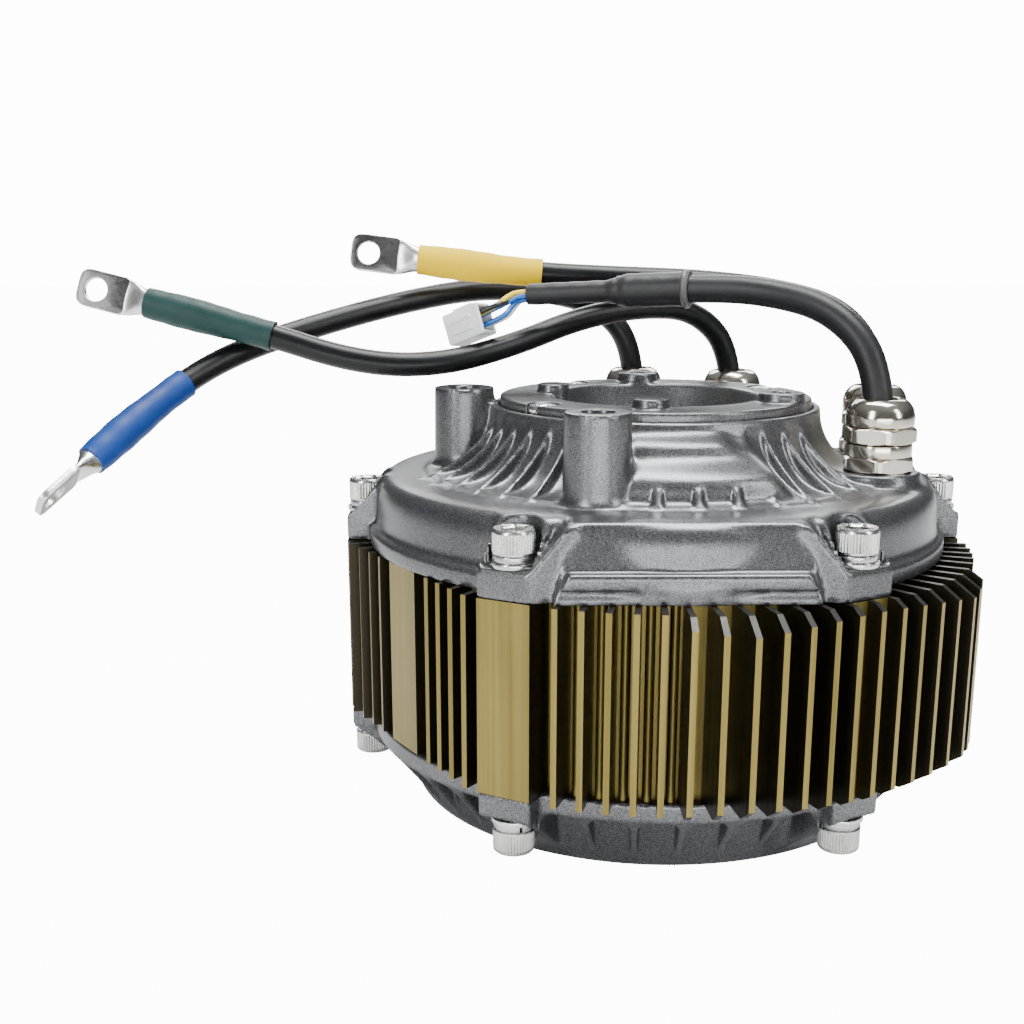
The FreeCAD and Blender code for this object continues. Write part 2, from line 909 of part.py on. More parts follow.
# Hub plate: a round plate with the dish that the output stub stands in
dish_depth = plate_top - plate_pocket - 0.3
plate_form = turned(
    "plate_form",
    [
        (s.dish_throat, plate_pocket + 0.3),
        (s.plate_spigot_radius, plate_pocket + 0.3),
        (s.plate_spigot_radius, plate_seat),
        (recess_radius - s.plate_gap, plate_seat),
        (recess_radius - s.plate_gap, plate_top - 0.7),
        (recess_radius - s.plate_gap - 0.7, plate_top),
        (s.dish_radius + 0.8, plate_top),
        (s.dish_radius, plate_top - 0.6),
        (s.dish_radius - 1.6, plate_top - dish_depth * 0.2),
        (s.dish_radius - 5.2, plate_top - dish_depth * 0.47),
        (s.dish_radius - 9.6, plate_top - dish_depth * 0.72),
        (s.dish_throat, plate_pocket + 1.8),
    ],
)
# bosses on the plate: angle about the shaft, distance from it and radius
plate_bosses = {
    "a": (173.0, s.dish_radius - 0.6, s.plate_boss_radius - 1.7),
    "b": (-98.2, 33.0, s.plate_boss_radius - 1.5),
    "c": (92.0, 34.0, s.plate_boss_radius - 0.2),
    "d": (-32.0, 36.0, s.plate_boss_radius),
}
plate_parts = [plate_form]
plate_cuts = []
for name, (angle, circle, radius) in plate_bosses.items():
    # the first boss stands half over the dish, so its foot goes down to the slope
    foot = plate_top - dish_depth * 0.5 if name == "a" else plate_top - 1
    height = plate_top + s.plate_boss_height - foot
    plate_parts.append(cylinder("plate_boss_" + name, radius, height, foot, angle, circle))
for name in ("c", "d"):
    angle, circle, radius = plate_bosses[name]
    plate_cuts.append(
        cylinder(
            "plate_boss_thread_" + name,
            s.plate_boss_thread,
            s.plate_boss_depth,
            plate_top + s.plate_boss_height - s.plate_boss_depth,
            angle,
            circle,
        )
    )
for angle in plate_screw_angles:
    plate_cuts.append(
        cylinder(
            "plate_screw_hole_%d" % angle,
            s.plate_screw_radius + s.small_screw_clearance,
            s.plate_thickness + 1,
            plate_seat - 0.5,
            angle,
            plate_screw_circle,
        )
    )
    plate_cuts.append(
        cylinder(
            "plate_screw_seat_%d" % angle,
            s.plate_screw_head + s.small_screw_clearance,
            s.plate_screw_sink + 0.4,
            plate_top - s.plate_screw_sink,
            angle,
            plate_screw_circle,
        )
    )
hub_plate = node(cut("hub_plate", fuse("plate_casting", plate_parts), plate_cuts), "hub_plate")


# Screws and washers
def cap_screw(name, radius, length, head_radius, head_height, flats, depth):
    # A socket-head screw with its seat at z = 0 and its head above.
    stem = turned(
        name + "_form",
        [
            (0, -length),
            (radius - 0.5, -length),
            (radius, 0.6 - length),
            (radius, 0),
            (head_radius, 0),
            (head_radius, head_height - 0.5),
            (head_radius - 0.5, head_height),
            (0, head_height),
        ],
    )
    socket = hexagon(name + "_socket", flats, depth + 1, head_height - depth)
    return cut(name, stem, [socket])


case_screw = cap_screw(
    "case_screw",
    s.screw_radius,
    s.screw_length,
    s.screw_head_radius,
    s.screw_head_height,
    s.socket_flats,
    s.socket_depth,
)
washer_bore = s.screw_radius + 0.2
spring_ring = turned(
    "spring_ring",
    [
        (washer_bore, 0),
        (s.spring_washer_radius, 0),
        (s.spring_washer_radius, s.spring_washer_height),
        (washer_bore, s.spring_washer_height),
    ],
)
spring_slit = box(
    "spring_slit", 4, s.spring_washer_slit, s.spring_washer_height + 1, -0.5, 0, washer_bore - 1
)
spring_washer = cut("spring_washer", spring_ring, [spring_slit])
flat_washer = turned(
    "flat_washer",
    [
        (washer_bore, 0),
        (s.flat_washer_radius, 0),
        (s.flat_washer_radius, s.flat_washer_height),
        (washer_bore, s.flat_washer_height),
    ],
)


def facing_up(z, turn=0):
    circle = s.screw_circle_radius
    return [around(angle, circle, z, turn * (i + 1)) for i, angle in enumerate(columns)]


def facing_down(z, turn=0):
    flip = FreeCAD.Placement(V(), FreeCAD.Rotation(V(1, 0, 0), 180))
    return [place.multiply(flip) for place in facing_up(z, turn)]


above_washers = s.flat_washer_height + s.spring_washer_height
node(
    copies("upper_case_screws", case_screw, facing_up(upper_seat + above_washers, 23)),
    "upper_case_screws",
)
node(
    copies("upper_spring_washers", spring_washer, facing_up(upper_seat + s.flat_washer_height, 77)),
    "upper_spring_washers",
)
node(copies("upper_flat_washers", flat_washer, facing_up(upper_seat)), "upper_flat_washers")
node(
    copies("lower_case_screws", case_screw, facing_down(lower_seat - above_washers, 31)),
    "lower_case_screws",
)
node(
    copies("lower_spring_washers", spring_washer, facing_down(lower_seat - s.flat_washer_height, 58)),
    "lower_spring_washers",
)
node(copies("lower_flat_washers", flat_washer, facing_down(lower_seat)), "lower_flat_washers")
plate_screw = cap_screw(
    "plate_screw",
    s.plate_screw_radius,
    s.plate_screw_length,
    s.plate_screw_head,
    s.plate_screw_head_height,
    s.plate_screw_flats,
    s.plate_screw_socket,
)
node(
    copies(
        "hub_plate_screws",
        plate_screw,
        [
            around(angle, plate_screw_circle, plate_top - s.plate_screw_sink)
            for angle in plate_screw_angles
        ],
    ),
    "hub_plate_screws",
)
board_screw = cap_screw(
    "board_screw",
    s.board_screw_radius,
    s.board_screw_length,
    s.board_screw_head,
    s.board_screw_head_height,
    s.board_screw_flats,
    s.board_screw_socket,
)


# Seals between the castings
def seal_ring(name, z):
    ring = add("Part::Torus", name)
    ring_radius = s.ring_section / 2
    bind(ring, Radius1=groove_floor + ring_radius, Radius2=ring_radius)
    ring.setExpression("Placement.Base.z", z.formula)
    return node(ring, name)


seal_ring("cover_seal_ring", shell_top - s.spigot_depth / 2)
seal_ring("base_seal_ring", s.base_height + s.spigot_depth / 2)


# Glands
def gland_body():
    bore = s.gland_bore
    hexa = hexagon("gland_hex", s.gland_flats, s.gland_hex_height, 0, 12)
    stem = turned(
        "gland_stem",
        [
            (bore, -s.gland_pad_rise + s.shoulder_rise - s.ceiling_thickness),
            (s.gland_thread_radius, -s.gland_pad_rise + s.shoulder_rise - s.ceiling_thickness),
            (s.gland_thread_radius, 0),
            (s.gland_collar_radius, 0),
            (s.gland_collar_radius, s.gland_hex_height + s.gland_collar_height),
            (s.gland_tube_radius, s.gland_hex_height + s.gland_collar_height),
            (s.gland_tube_radius, s.gland_hex_height + s.gland_collar_height + s.gland_tube_height),
            (s.gland_tube_bore, s.gland_hex_height + s.gland_collar_height + s.gland_tube_height),
            (s.gland_tube_bore, s.gland_hex_height),
            (bore, s.gland_hex_height - 1),
        ],
    )
    hex_bore = cylinder("gland_hex_bore", bore + 0.5, s.gland_hex_height + 2, -1)
    return fuse("gland_body", [stem, cut("gland_hex_ring", hexa, [hex_bore])])


def gland_nut():
    low = s.gland_hex_height + s.gland_collar_height
    high = low + s.gland_nut_hex_height + s.gland_dome_height
    inside = s.gland_tube_radius + s.gland_gap
    hexa = hexagon("nut_hex", s.gland_flats, s.gland_nut_hex_height, low, 26)
    hexa_bore = cylinder("nut_hex_bore", inside + 0.4, s.gland_nut_hex_height + 2, low - 1)
    dome = turned(
        "nut_dome",
        [
            (inside, low),
            (inside + 1.2, low),
            (s.gland_dome_radius, low + s.gland_nut_hex_height),
            (s.gland_dome_radius, high - 4.2),
            (s.gland_dome_radius - 0.45, high - 2.3),
            (s.gland_dome_radius - 1.5, high - 0.8),
            (s.gland_dome_radius - 3.0, high),
            (s.gland_nut_bore, high),
            (s.gland_nut_bore, high - 2.6),
            (inside, high - 4.4),
        ],
    )
    return fuse("gland_nut", [cut("nut_hex_ring", hexa, [hexa_bore]), dome])


def at_glands(turn):
    spots = list(gland_places.values())
    return [around(angle, circle, gland_seat, turn * i) for i, (angle, circle) in enumerate(spots)]


node(copies("gland_bodies", gland_body(), at_glands(17)), "gland_bodies")
node(copies("gland_nuts", gland_nut(), at_glands(11)), "gland_nuts")
seal_seat = s.gland_hex_height + 0.2
gland_seals = []
for name, place in zip(gland_places, at_glands(0)):
    cable = s.sensor_cable_radius if name == "sensor" else s.phase_cable_radius
    ring = turned(
        name + "_gland_seal",
        [
            (cable + s.cable_gap, seal_seat),
            (s.gland_tube_bore - s.gland_gap, seal_seat),
            (s.gland_tube_bore - s.gland_gap, seal_seat + s.seal_height),
            (cable + s.cable_gap, seal_seat + s.seal_height),
        ],
    )
    ring.Placement = place
    gland_seals.append(ring)
doc.recompute()
node(feature("gland_seals", Part.makeCompound([ring.Shape for ring in gland_seals])), "gland_seals")


# Cables: straight runs joined by tangent arcs, drawn from the gland to the far end
routes = {
    "yellow": [
        V(61.96, 7.39, 97.5), V(61.96, 7.39, 116.5), V(53.5, 14.2, 130.0), V(36.0, 24.0, 135.0),
        V(14.5, 31.0, 137.2), V(-9.5, 34.2, 138.0), V(-34.0, 35.6, 139.2), V(-58.3, 36.4, 142.2),
    ],
    "green": [
        V(29.97, 52.32, 95.2), V(29.97, 52.32, 114.6), V(17.3, 46.9, 128.4), V(-1.0, 40.6, 129.4),
        V(-19.0, 32.0, 126.4), V(-38.0, 20.5, 119.6), V(-59.0, 11.5, 114.8), V(-81.0, 9.0, 115.8),
        V(-107.5, 10.5, 124.2), V(-132.0, 13.3, 130.2),
    ],
    "blue": [
        V(0.42, 60.50, 99.5), V(0.42, 60.50, 116.0), V(-10.5, 60.8, 128.9), V(-28.0, 58.0, 133.4),
        V(-48.0, 51.3, 134.4), V(-70.0, 39.4, 130.9), V(-93.5, 27.4, 125.0), V(-115.5, 15.4, 118.2),
        V(-131.5, 3.4, 108.6), V(-144.0, -13.6, 96.6),
    ],
    "sensor": [
        V(54.64, -24.79, 97.0), V(54.64, -24.79, 116.5), V(44.5, -15.8, 131.3), V(27.5, -2.5, 135.8),
        V(8.0, 6.5, 135.9), V(-9.0, 12.4, 135.0),
    ],
}


def rounded(points):
    # The path through a route's points and the radius of each arc on it.
    edges = []
    radii = []
    start = points[0]
    for before, corner, after in zip(points, points[1:], points[2:]):
        into = corner - before
        out = after - corner
        turn = into.getAngle(out)
        trim = 0.45 * min(into.Length, out.Length)
        radii.append(trim / math.tan(turn / 2))
        into.normalize()
        out.normalize()
        first = corner - into * trim
        last = corner + out * trim
        centre = corner + (out - into).normalize() * (radii[-1] / math.cos(turn / 2))
        middle = centre + (corner - centre).normalize() * radii[-1]
        edges.append(Part.LineSegment(start, first).toShape())
        edges.append(Part.Arc(first, middle, last).toShape())
        start = last
    edges.append(Part.LineSegment(start, points[-1]).toShape())
    return Part.Wire(edges), radii


def tube(name, points, radius):
    path, radii = rounded(points)
    along = (points[1] - points[0]).normalize()
    section = Part.Wire(Part.Circle(points[0], along, radius).toShape())
    solid = path.makePipeShell([section], True, False)
    ratio = solid.Volume / (math.pi * radius ** 2 * path.Length)
    text = " ".join("%.1f" % r for r in radii)
    print("%s: length %.1f, volume ratio %.4f, arc radii %s" % (name, path.Length, ratio, text))
    return solid


phases = ("yellow", "green", "blue")
for name in phases:
    solid = tube(name + "_phase_cable", routes[name], float(s.phase_cable_radius))
    node(feature(name + "_phase_cable", solid), name + "_phase_cable")
node(
    feature("sensor_cable", tube("sensor_cable", routes["sensor"], float(s.sensor_cable_radius))),
    "sensor_cable",
)


def along_run(start, end, roll=0):
    # A placement at the end point whose x axis carries on along the run.
    direction = (end - start).normalize()
    across = UP.cross(direction).normalize()
    rotation = FreeCAD.Rotation(direction, across, direction.cross(across), "XZY")
    spin = FreeCAD.Rotation(V(1, 0, 0), roll)
    return FreeCAD.Placement(end, rotation.multiply(spin))


def spot_before_end(points, back):
    # The point of a cable's centreline this far before its end.
    left = float(back)
    for edge in reversed(rounded(points)[0].Edges):
        if edge.Length >= left:
            return edge.valueAt(edge.getParameterByLength(edge.Length - left))
        left -= edge.Length


def sleeve_on(name, points, back, ahead, inner, outer):
    # A tube round the last stretch of a cable, carried on straight past its end if it reaches further.
    edges = []
    left = back
    for edge in reversed(rounded(points)[0].Edges):
        if edge.Length >= left:
            cut_at = edge.getParameterByLength(edge.Length - left)
            edges.insert(0, edge.Curve.toShape(cut_at, edge.LastParameter))
            break
        edges.insert(0, edge)
        left -= edge.Length
    if ahead > 0:
        tip = points[-1] + (points[-1] - points[-2]).normalize() * ahead
        edges.append(Part.LineSegment(points[-1], tip).toShape())
    path = Part.Wire(edges)
    start = path.Edges[0]
    origin = start.valueAt(start.FirstParameter)
    along = start.tangentAt(start.FirstParameter)
    solids = []
    for radius in (outer, inner):
        section = Part.Wire(Part.Circle(origin, along, radius).toShape())
        solids.append(path.makePipeShell([section], True, False))
    return feature(name, solids[0].cut(solids[1]))


def lying_ring(name, inner, outer, start, length):
    # A tube along the x axis.
    body = turned(name, [(inner, 0), (outer, 0), (outer, length), (inner, length)])
    body.Placement = FreeCAD.Placement(V(float(start), 0, 0), FreeCAD.Rotation(V(0, 1, 0), 90))
    return body


def ring_lug():
    # A crimped barrel that flattens into a palm with a bolt hole.
    barrel = cylinder("lug_barrel", s.lug_barrel_radius, s.lug_barrel_length)
    barrel.Placement = FreeCAD.Placement(V(), FreeCAD.Rotation(V(0, 1, 0), 90))
    neck_start = float(s.lug_barrel_length)
    radius = float(s.lug_barrel_radius)
    palm_half = float(s.lug_palm_width) / 2
    thin = float(s.lug_palm_thickness)
    circle = Part.Wire(Part.Circle(V(neck_start, 0, 0), V(1, 0, 0), radius).toShape())
    end = neck_start + float(s.lug_neck_length)
    pressed = Part.Ellipse(V(end, palm_half - 0.2, 0), V(end, 0, thin / 2 + 0.2), V(end, 0, 0))
    neck = feature("lug_neck", Part.makeLoft([circle, Part.Wire(pressed.toShape())], True))
    palm_start = end - 1.2
    palm_reach = s.lug_palm_length - s.lug_palm_width / 2 + 1.2
    palm = box("lug_palm", palm_reach, s.lug_palm_width, s.lug_palm_thickness, 0, 0, palm_start)
    palm.Placement.Base.z = -thin / 2
    eye = cylinder("lug_eye", s.lug_palm_width / 2, s.lug_palm_thickness)
    eye_at = end + float(s.lug_palm_length) - palm_half
    eye.Placement.Base = V(eye_at, 0, -thin / 2)
    hole = cylinder("lug_hole", s.lug_hole_radius, 4)
    hole.Placement.Base = V(eye_at, 0, -2)
    return cut("ring_lug", fuse("lug_form", [barrel, neck, palm, eye]), [hole])


lug = ring_lug()
sleeve_over_lug = float(s.lug_barrel_length) - 0.2
sleeve_inside = float(s.lug_barrel_radius) + float(s.cable_gap)
sleeve_outside = sleeve_inside + float(s.sleeve_wall)
lug_roll = {"yellow": -80, "green": -78, "blue": 43}
for name in phases:
    route = routes[name]
    place = along_run(route[-2], route[-1], lug_roll[name])
    node(copies(name + "_ring_lug", lug, [place]), name + "_ring_lug")
    sleeve = sleeve_on(
        name + "_phase_sleeve",
        route,
        float(s.sleeve_length) - sleeve_over_lug,
        sleeve_over_lug,
        sleeve_inside,
        sleeve_outside,
    )
    node(sleeve, name + "_phase_sleeve")


# The sensor cable's end: grey ring, two sleeves, wires and plug housing
route = routes["sensor"]
sensor_end = along_run(route[-2], route[-1])
cable = s.sensor_cable_radius
sleeve_inside = float(cable) + float(s.cable_gap)
sleeve_outside = sleeve_inside + float(s.sensor_sleeve_wall)
sleeve_back = float(s.sensor_sleeve_length)
sleeve = sleeve_on("thick_sleeve", route, sleeve_back, 0, sleeve_inside, sleeve_outside)
node(sleeve, "sensor_cable_sleeve")
grey = lying_ring(
    "grey_band",
    cable + s.cable_gap,
    cable + s.cable_gap + s.sensor_sleeve_wall + s.grey_ring_wall,
    -s.grey_ring_width,
    s.grey_ring_width,
)
ring_front = spot_before_end(route, sleeve_back + 0.1)
ring_back = spot_before_end(route, sleeve_back + 0.1 + float(s.grey_ring_width))
node(copies("sensor_cable_ring", grey, [along_run(ring_back, ring_front)]), "sensor_cable_ring")
thin_sleeve = lying_ring(
    "thin_sleeve", s.wire_sleeve_radius - 0.6, s.wire_sleeve_radius, 0.1, s.wire_sleeve_length
)
node(copies("sensor_wire_sleeve", thin_sleeve, [sensor_end]), "sensor_wire_sleeve")
plug_length = s.connector_length
plug_block = box("plug_block", plug_length, s.connector_width, s.connector_height, 0, 0, 0)
plug_block.Placement.Base.z = -float(s.connector_height) / 2
mouth_depth = 4.0
plug_mouth = box(
    "plug_mouth",
    mouth_depth + 1,
    s.connector_width - 2 * s.connector_wall,
    s.connector_height - 2 * s.connector_wall,
    0,
    0,
    -1,
)
plug_mouth.Placement.Base.z = float(s.connector_wall) - float(s.connector_height) / 2
plug = cut("plug", plug_block, [plug_mouth])
plug_entry = V(-45.2, 16.6, 127.6)
plug_heading = V(-0.82, 0.44, -0.36)
plug_place = along_run(plug_entry - plug_heading, plug_entry, 6)
node(copies("sensor_connector", plug, [plug_place]), "sensor_connector")
wires = []
for number in range(5):
    side = (number % 3 - 1) * 1.75
    rise = 1.6 if number < 3 else -1.6
    round_sleeve = math.radians(number * 72)
    offset = V(0, math.cos(round_sleeve), math.sin(round_sleeve))
    sleeve_spot = sensor_end.multVec(V(1.2, 0, 0) + offset)
    sleeve_exit = sensor_end.multVec(V(float(s.wire_sleeve_length) + 2.0, 0, 0) + offset * 1.05)
    entry = plug_place.multVec(V(mouth_depth - 0.05, side, rise))
    before_entry = plug_place.multVec(V(-3.4 - number * 0.4, side * 1.1, rise * 1.2))
    spread = V(0, 0.7 * (number - 2), 1.1 * math.sin(number * 2.1))
    middle = (sleeve_exit + before_entry) * 0.5 + spread
    points = [sleeve_spot, sleeve_exit, middle, before_entry, entry]
    wires.append(tube("sensor_wire_%d" % number, points, float(s.wire_radius)))
node(feature("sensor_wires", Part.makeCompound(wires)), "sensor_wires")


# Stator
middle_height = s.base_height + s.shell_height / 2
stack_low = middle_height - s.stack_height / 2
stack_high = middle_height + s.stack_height / 2
stator_radius = s.bore_radius - s.stack_gap
yoke_inside = stator_radius - s.yoke_width
tooth_angles = [i * 360 / float(s.tooth_count) for i in range(int(float(s.tooth_count)))]
half_pitch = math.radians(180 / float(s.tooth_count))


def slot_outline():
    # One slot, centred on the x axis between two teeth.
    half_tooth = float(s.tooth_width) / 2
    tip = float(s.stator_bore_radius) + float(s.tooth_tip)
    opening = float(s.slot_opening) / 2

    def beside_tooth(reach):
        x = reach * math.cos(half_pitch) + half_tooth * math.sin(half_pitch)
        y = reach * math.sin(half_pitch) - half_tooth * math.cos(half_pitch)
        return x, y

    inner = beside_tooth(tip + 0.8)
    outer = beside_tooth(float(yoke_inside))
    corners = [
        V(float(s.stator_bore_radius) - 1, -opening, 0), V(tip - 0.6, -opening, 0),
        V(inner[0], -inner[1], 0), V(outer[0], -outer[1], 0),
        V(outer[0], outer[1], 0), V(inner[0], inner[1], 0),
        V(tip - 0.6, opening, 0), V(float(s.stator_bore_radius) - 1, opening, 0),
    ]
    return Part.Face(Part.makePolygon(corners + corners[:1]))


slot_bar = add("Part::Extrusion", "slot_bar")
slot_bar.Base = feature("slot_outline", slot_outline(), around(0, 0, stack_low - 1))
slot_bar.Dir = UP
slot_bar.Solid = True
bind(slot_bar, LengthFwd=s.stack_height + 2)
slots = copies("stator_slots", slot_bar, [around(a + math.degrees(half_pitch)) for a in tooth_angles])
stack = turned(
    "stator_stack",
    [
        (s.stator_bore_radius, stack_low),
        (stator_radius, stack_low),
        (stator_radius, stack_high),
        (s.stator_bore_radius, stack_high),
    ],
)
node(cut("stator_core", stack, [slots]), "stator_core")


def slot_insulator(name, low, rim_low):
    # An insulating rim on the yoke with a cap over each tooth.
    parts = [
        turned(
            name + "_rim",
            [
                (yoke_inside - 0.4, rim_low),
                (yoke_inside + 2.2, rim_low),
                (yoke_inside + 2.2, rim_low + s.insulator_rim_height),
                (yoke_inside - 0.4, rim_low + s.insulator_rim_height),
            ],
        )
    ]
    for number, angle in enumerate(tooth_angles):
        length = yoke_inside - s.stator_bore_radius - 3
        cap = box(
            "%s_cap_%d" % (name, number),
            length,
            s.tooth_width,
            s.insulator_thickness,
            low,
            angle,
            float(s.stator_bore_radius) + 3.3,
        )
        parts.append(cap)
    return node(fuse(name, parts), name)


slot_insulator("upper_slot_insulator", stack_high, stack_high)
slot_insulator(
    "lower_slot_insulator", stack_low - s.insulator_thickness, stack_low - s.insulator_rim_height
)
coil_hole_half = float(s.tooth_width) / 2 + float(s.coil_gap)
coil_low = float(stack_low) - float(s.insulator_thickness) - float(s.coil_gap)
coil_high = float(stack_high) + float(s.insulator_thickness) + float(s.coil_gap)
turn_width = float(s.coil_thickness)
depth = float(s.coil_outer_radius) - float(s.coil_inner_radius)
coil_outer = Part.makeBox(
    depth,
    2 * (coil_hole_half + turn_width),
    coil_high - coil_low + 2 * turn_width,
    V(float(s.coil_inner_radius), -coil_hole_half - turn_width, coil_low - turn_width),
)
along_radius = [e for e in coil_outer.Edges if abs(e.tangentAt(e.FirstParameter).x) > 0.9]
coil_outer = coil_outer.makeFillet(turn_width * 0.8, along_radius)
coil_hole = Part.makeBox(
    depth + 2,
    2 * coil_hole_half,
    coil_high - coil_low,
    V(float(s.coil_inner_radius) - 1, -coil_hole_half, coil_low),
)
coil = feature("coil", coil_outer.cut(coil_hole))
node(copies("coils", coil, [around(angle) for angle in tooth_angles]), "coils")


# Rotor
core_radius = s.stator_bore_radius - s.air_gap - s.magnet_thickness
core_bore = s.core_seat_radius + s.shaft_fit
plate_high = stack_high + s.end_plate_thickness
plate_low = stack_low - s.end_plate_thickness
circlip_groove = plate_high + 0.05
base_bearing_low = s.base_floor + 0.5
base_bearing_high = base_bearing_low + s.bearing_width
stub_end = plate_top - s.stub_end_below_plate
shaft_form = turned(
    "shaft_form",
    [
        (0, base_bearing_low + 0.6),
        (s.base_bearing_bore - 1, base_bearing_low + 0.6),
        (s.base_bearing_bore - s.shaft_fit, base_bearing_low + 1.6),
        (s.base_bearing_bore - s.shaft_fit, base_bearing_high),
        (s.base_bearing_bore + 2.5, base_bearing_high),
        (s.base_bearing_bore + 2.5, plate_low - 4),
        (s.collar_radius, plate_low - 4),
        (s.collar_radius, plate_low),
        (s.core_seat_radius, plate_low),
        (s.core_seat_radius, circlip_groove),
        (s.core_seat_radius - s.circlip_depth, circlip_groove),
        (s.core_seat_radius - s.circlip_depth, circlip_groove + s.circlip_width + 0.1),
        (s.core_seat_radius, circlip_groove + s.circlip_width + 0.1),
        (s.core_seat_radius, cover_bearing_low),
        (s.cover_bearing_bore - s.shaft_fit, cover_bearing_low),
        (s.cover_bearing_bore - s.shaft_fit, plate_pocket + 1.6),
        (s.stub_radius, plate_pocket + 2.6),
        (s.stub_radius, stub_end - 0.8),
        (s.stub_radius - 0.8, stub_end),
        (0, stub_end),
    ],
)
spline_cuts = []
for number in range(int(float(s.spline_count))):
    spline_cuts.append(
        box(
            "spline_%d" % number,
            4,
            s.spline_groove_width,
            stub_end - plate_pocket,
            plate_pocket + 4.4,
            number * 360 / float(s.spline_count) + 7.5,
            float(s.stub_radius) - float(s.spline_depth),
        )
    )
centre_hole = cylinder("shaft_centre_thread", 3, 14, stub_end - 14)
node(cut("rotor_shaft", shaft_form, spline_cuts + [centre_hole]), "rotor_shaft")


def collar(name, inner, outer, low, high):
    return turned(name, [(inner, low), (outer, low), (outer, high), (inner, high)])


node(collar("rotor_core", core_bore, core_radius, stack_low, stack_high), "rotor_core")
end_low = collar("end_plate_low", core_bore, s.end_plate_radius, plate_low, stack_low)
end_high = collar("end_plate_high", core_bore, s.end_plate_radius, stack_high, plate_high)
doc.recompute()
node(feature("rotor_end_plates", Part.makeCompound([end_low.Shape, end_high.Shape])), "rotor_end_plates")
magnet = turned(
    "magnet",
    [
        (core_radius + 0.03, stack_low + 0.3),
        (core_radius + s.magnet_thickness, stack_low + 0.3),
        (core_radius + s.magnet_thickness, stack_high - 0.3),
        (core_radius + 0.03, stack_high - 0.3),
    ],
    float(s.magnet_span),
)
magnet_angles = [i * 360 / float(s.magnet_count) for i in range(int(float(s.magnet_count)))]
node(copies("magnets", magnet, [around(angle) for angle in magnet_angles]), "magnets")
circlip_ring = collar(
    "circlip_ring",
    s.core_seat_radius - s.circlip_depth + s.shaft_fit,
    s.core_seat_radius + s.circlip_proud,
    circlip_groove + 0.02,
    circlip_groove + s.circlip_width,
)
circlip_gap = box("circlip_gap", 8, 9, 4, circlip_groove - 1, 40, float(s.core_seat_radius) - 3)
node(cut("shaft_circlip", circlip_ring, [circlip_gap]), "shaft_circlip")
node(
    collar(
        "sensor_magnet_ring",
        s.sensor_ring_radius - s.sensor_ring_width,
        s.sensor_ring_radius,
        plate_high,
        plate_high + s.sensor_ring_height,
    ),
    "sensor_magnet_ring",
)


# Sensor board under the cover's ceiling
board_low = board_top - s.board_thickness
board_ring = collar("board_ring", s.board_inner_radius, s.board_outer_radius, board_low, board_top)
chips = []
sensor_face = plate_high + s.sensor_ring_height
for angle in (10, 30, 50):
    chip_low = sensor_face + s.chip_gap
    chips.append(box("sensor_chip_%d" % angle, 3, 4, board_low - chip_low + 0.2, chip_low, angle, 30))
board_hole = s.board_screw_radius + s.small_screw_clearance
board_holes = [
    cylinder("board_hole_%d" % angle, board_hole, 4, board_low - 1, angle, s.board_post_circle)
    for angle in board_angles
]
node(cut("sensor_board", fuse("board_form", [board_ring] + chips), board_holes), "sensor_board")
down = FreeCAD.Placement(V(), FreeCAD.Rotation(V(1, 0, 0), 180))
node(
    copies(
        "sensor_board_screws",
        board_screw,
        [around(angle, s.board_post_circle, board_low).multiply(down) for angle in board_angles],
    ),
    "sensor_board_screws",
)


# Bearings
def bearing(name, bore, outside, low, ball_count):
    pitch = (bore + outside) / 2
    middle = low + s.bearing_width / 2
    high = low + s.bearing_width
    groove = add("Part::Torus", name + "_groove")
    bind(groove, Radius1=pitch, Radius2=s.ball_radius + s.ball_gap)
    groove.Placement.Rotation = FreeCAD.Rotation(V(0, 0, 1), 45)
    groove.setExpression("Placement.Base.z", middle.formula)
    inner_top = pitch - s.race_lip
    outer_low = pitch + s.race_lip
    inner = collar(name + "_inner_ring", bore, inner_top, low, high)
    outer = collar(name + "_outer_ring", outer_low, outside - s.shaft_fit, low, high)
    node(cut(name + "_inner_race", inner, [groove]), name + "_inner_race")
    node(cut(name + "_outer_race", outer, [groove]), name + "_outer_race")
    ball = add("Part::Sphere", name + "_ball")
    bind(ball, Radius=s.ball_radius)
    places = [around(i * 360 / ball_count, pitch, middle) for i in range(ball_count)]
    node(copies(name + "_balls", ball, places), name + "_balls")
    pocket = add("Part::Sphere", name + "_pocket")
    bind(pocket, Radius=s.ball_radius + s.ball_gap)
    pockets = copies(name + "_pockets", pocket, places)
    half = s.cage_thickness / 2
    cage_low = middle - s.cage_height / 2
    ring = collar(name + "_cage_ring", pitch - half, pitch + half, cage_low, cage_low + s.cage_height)
    node(cut(name + "_cage", ring, [pockets]), name + "_cage")


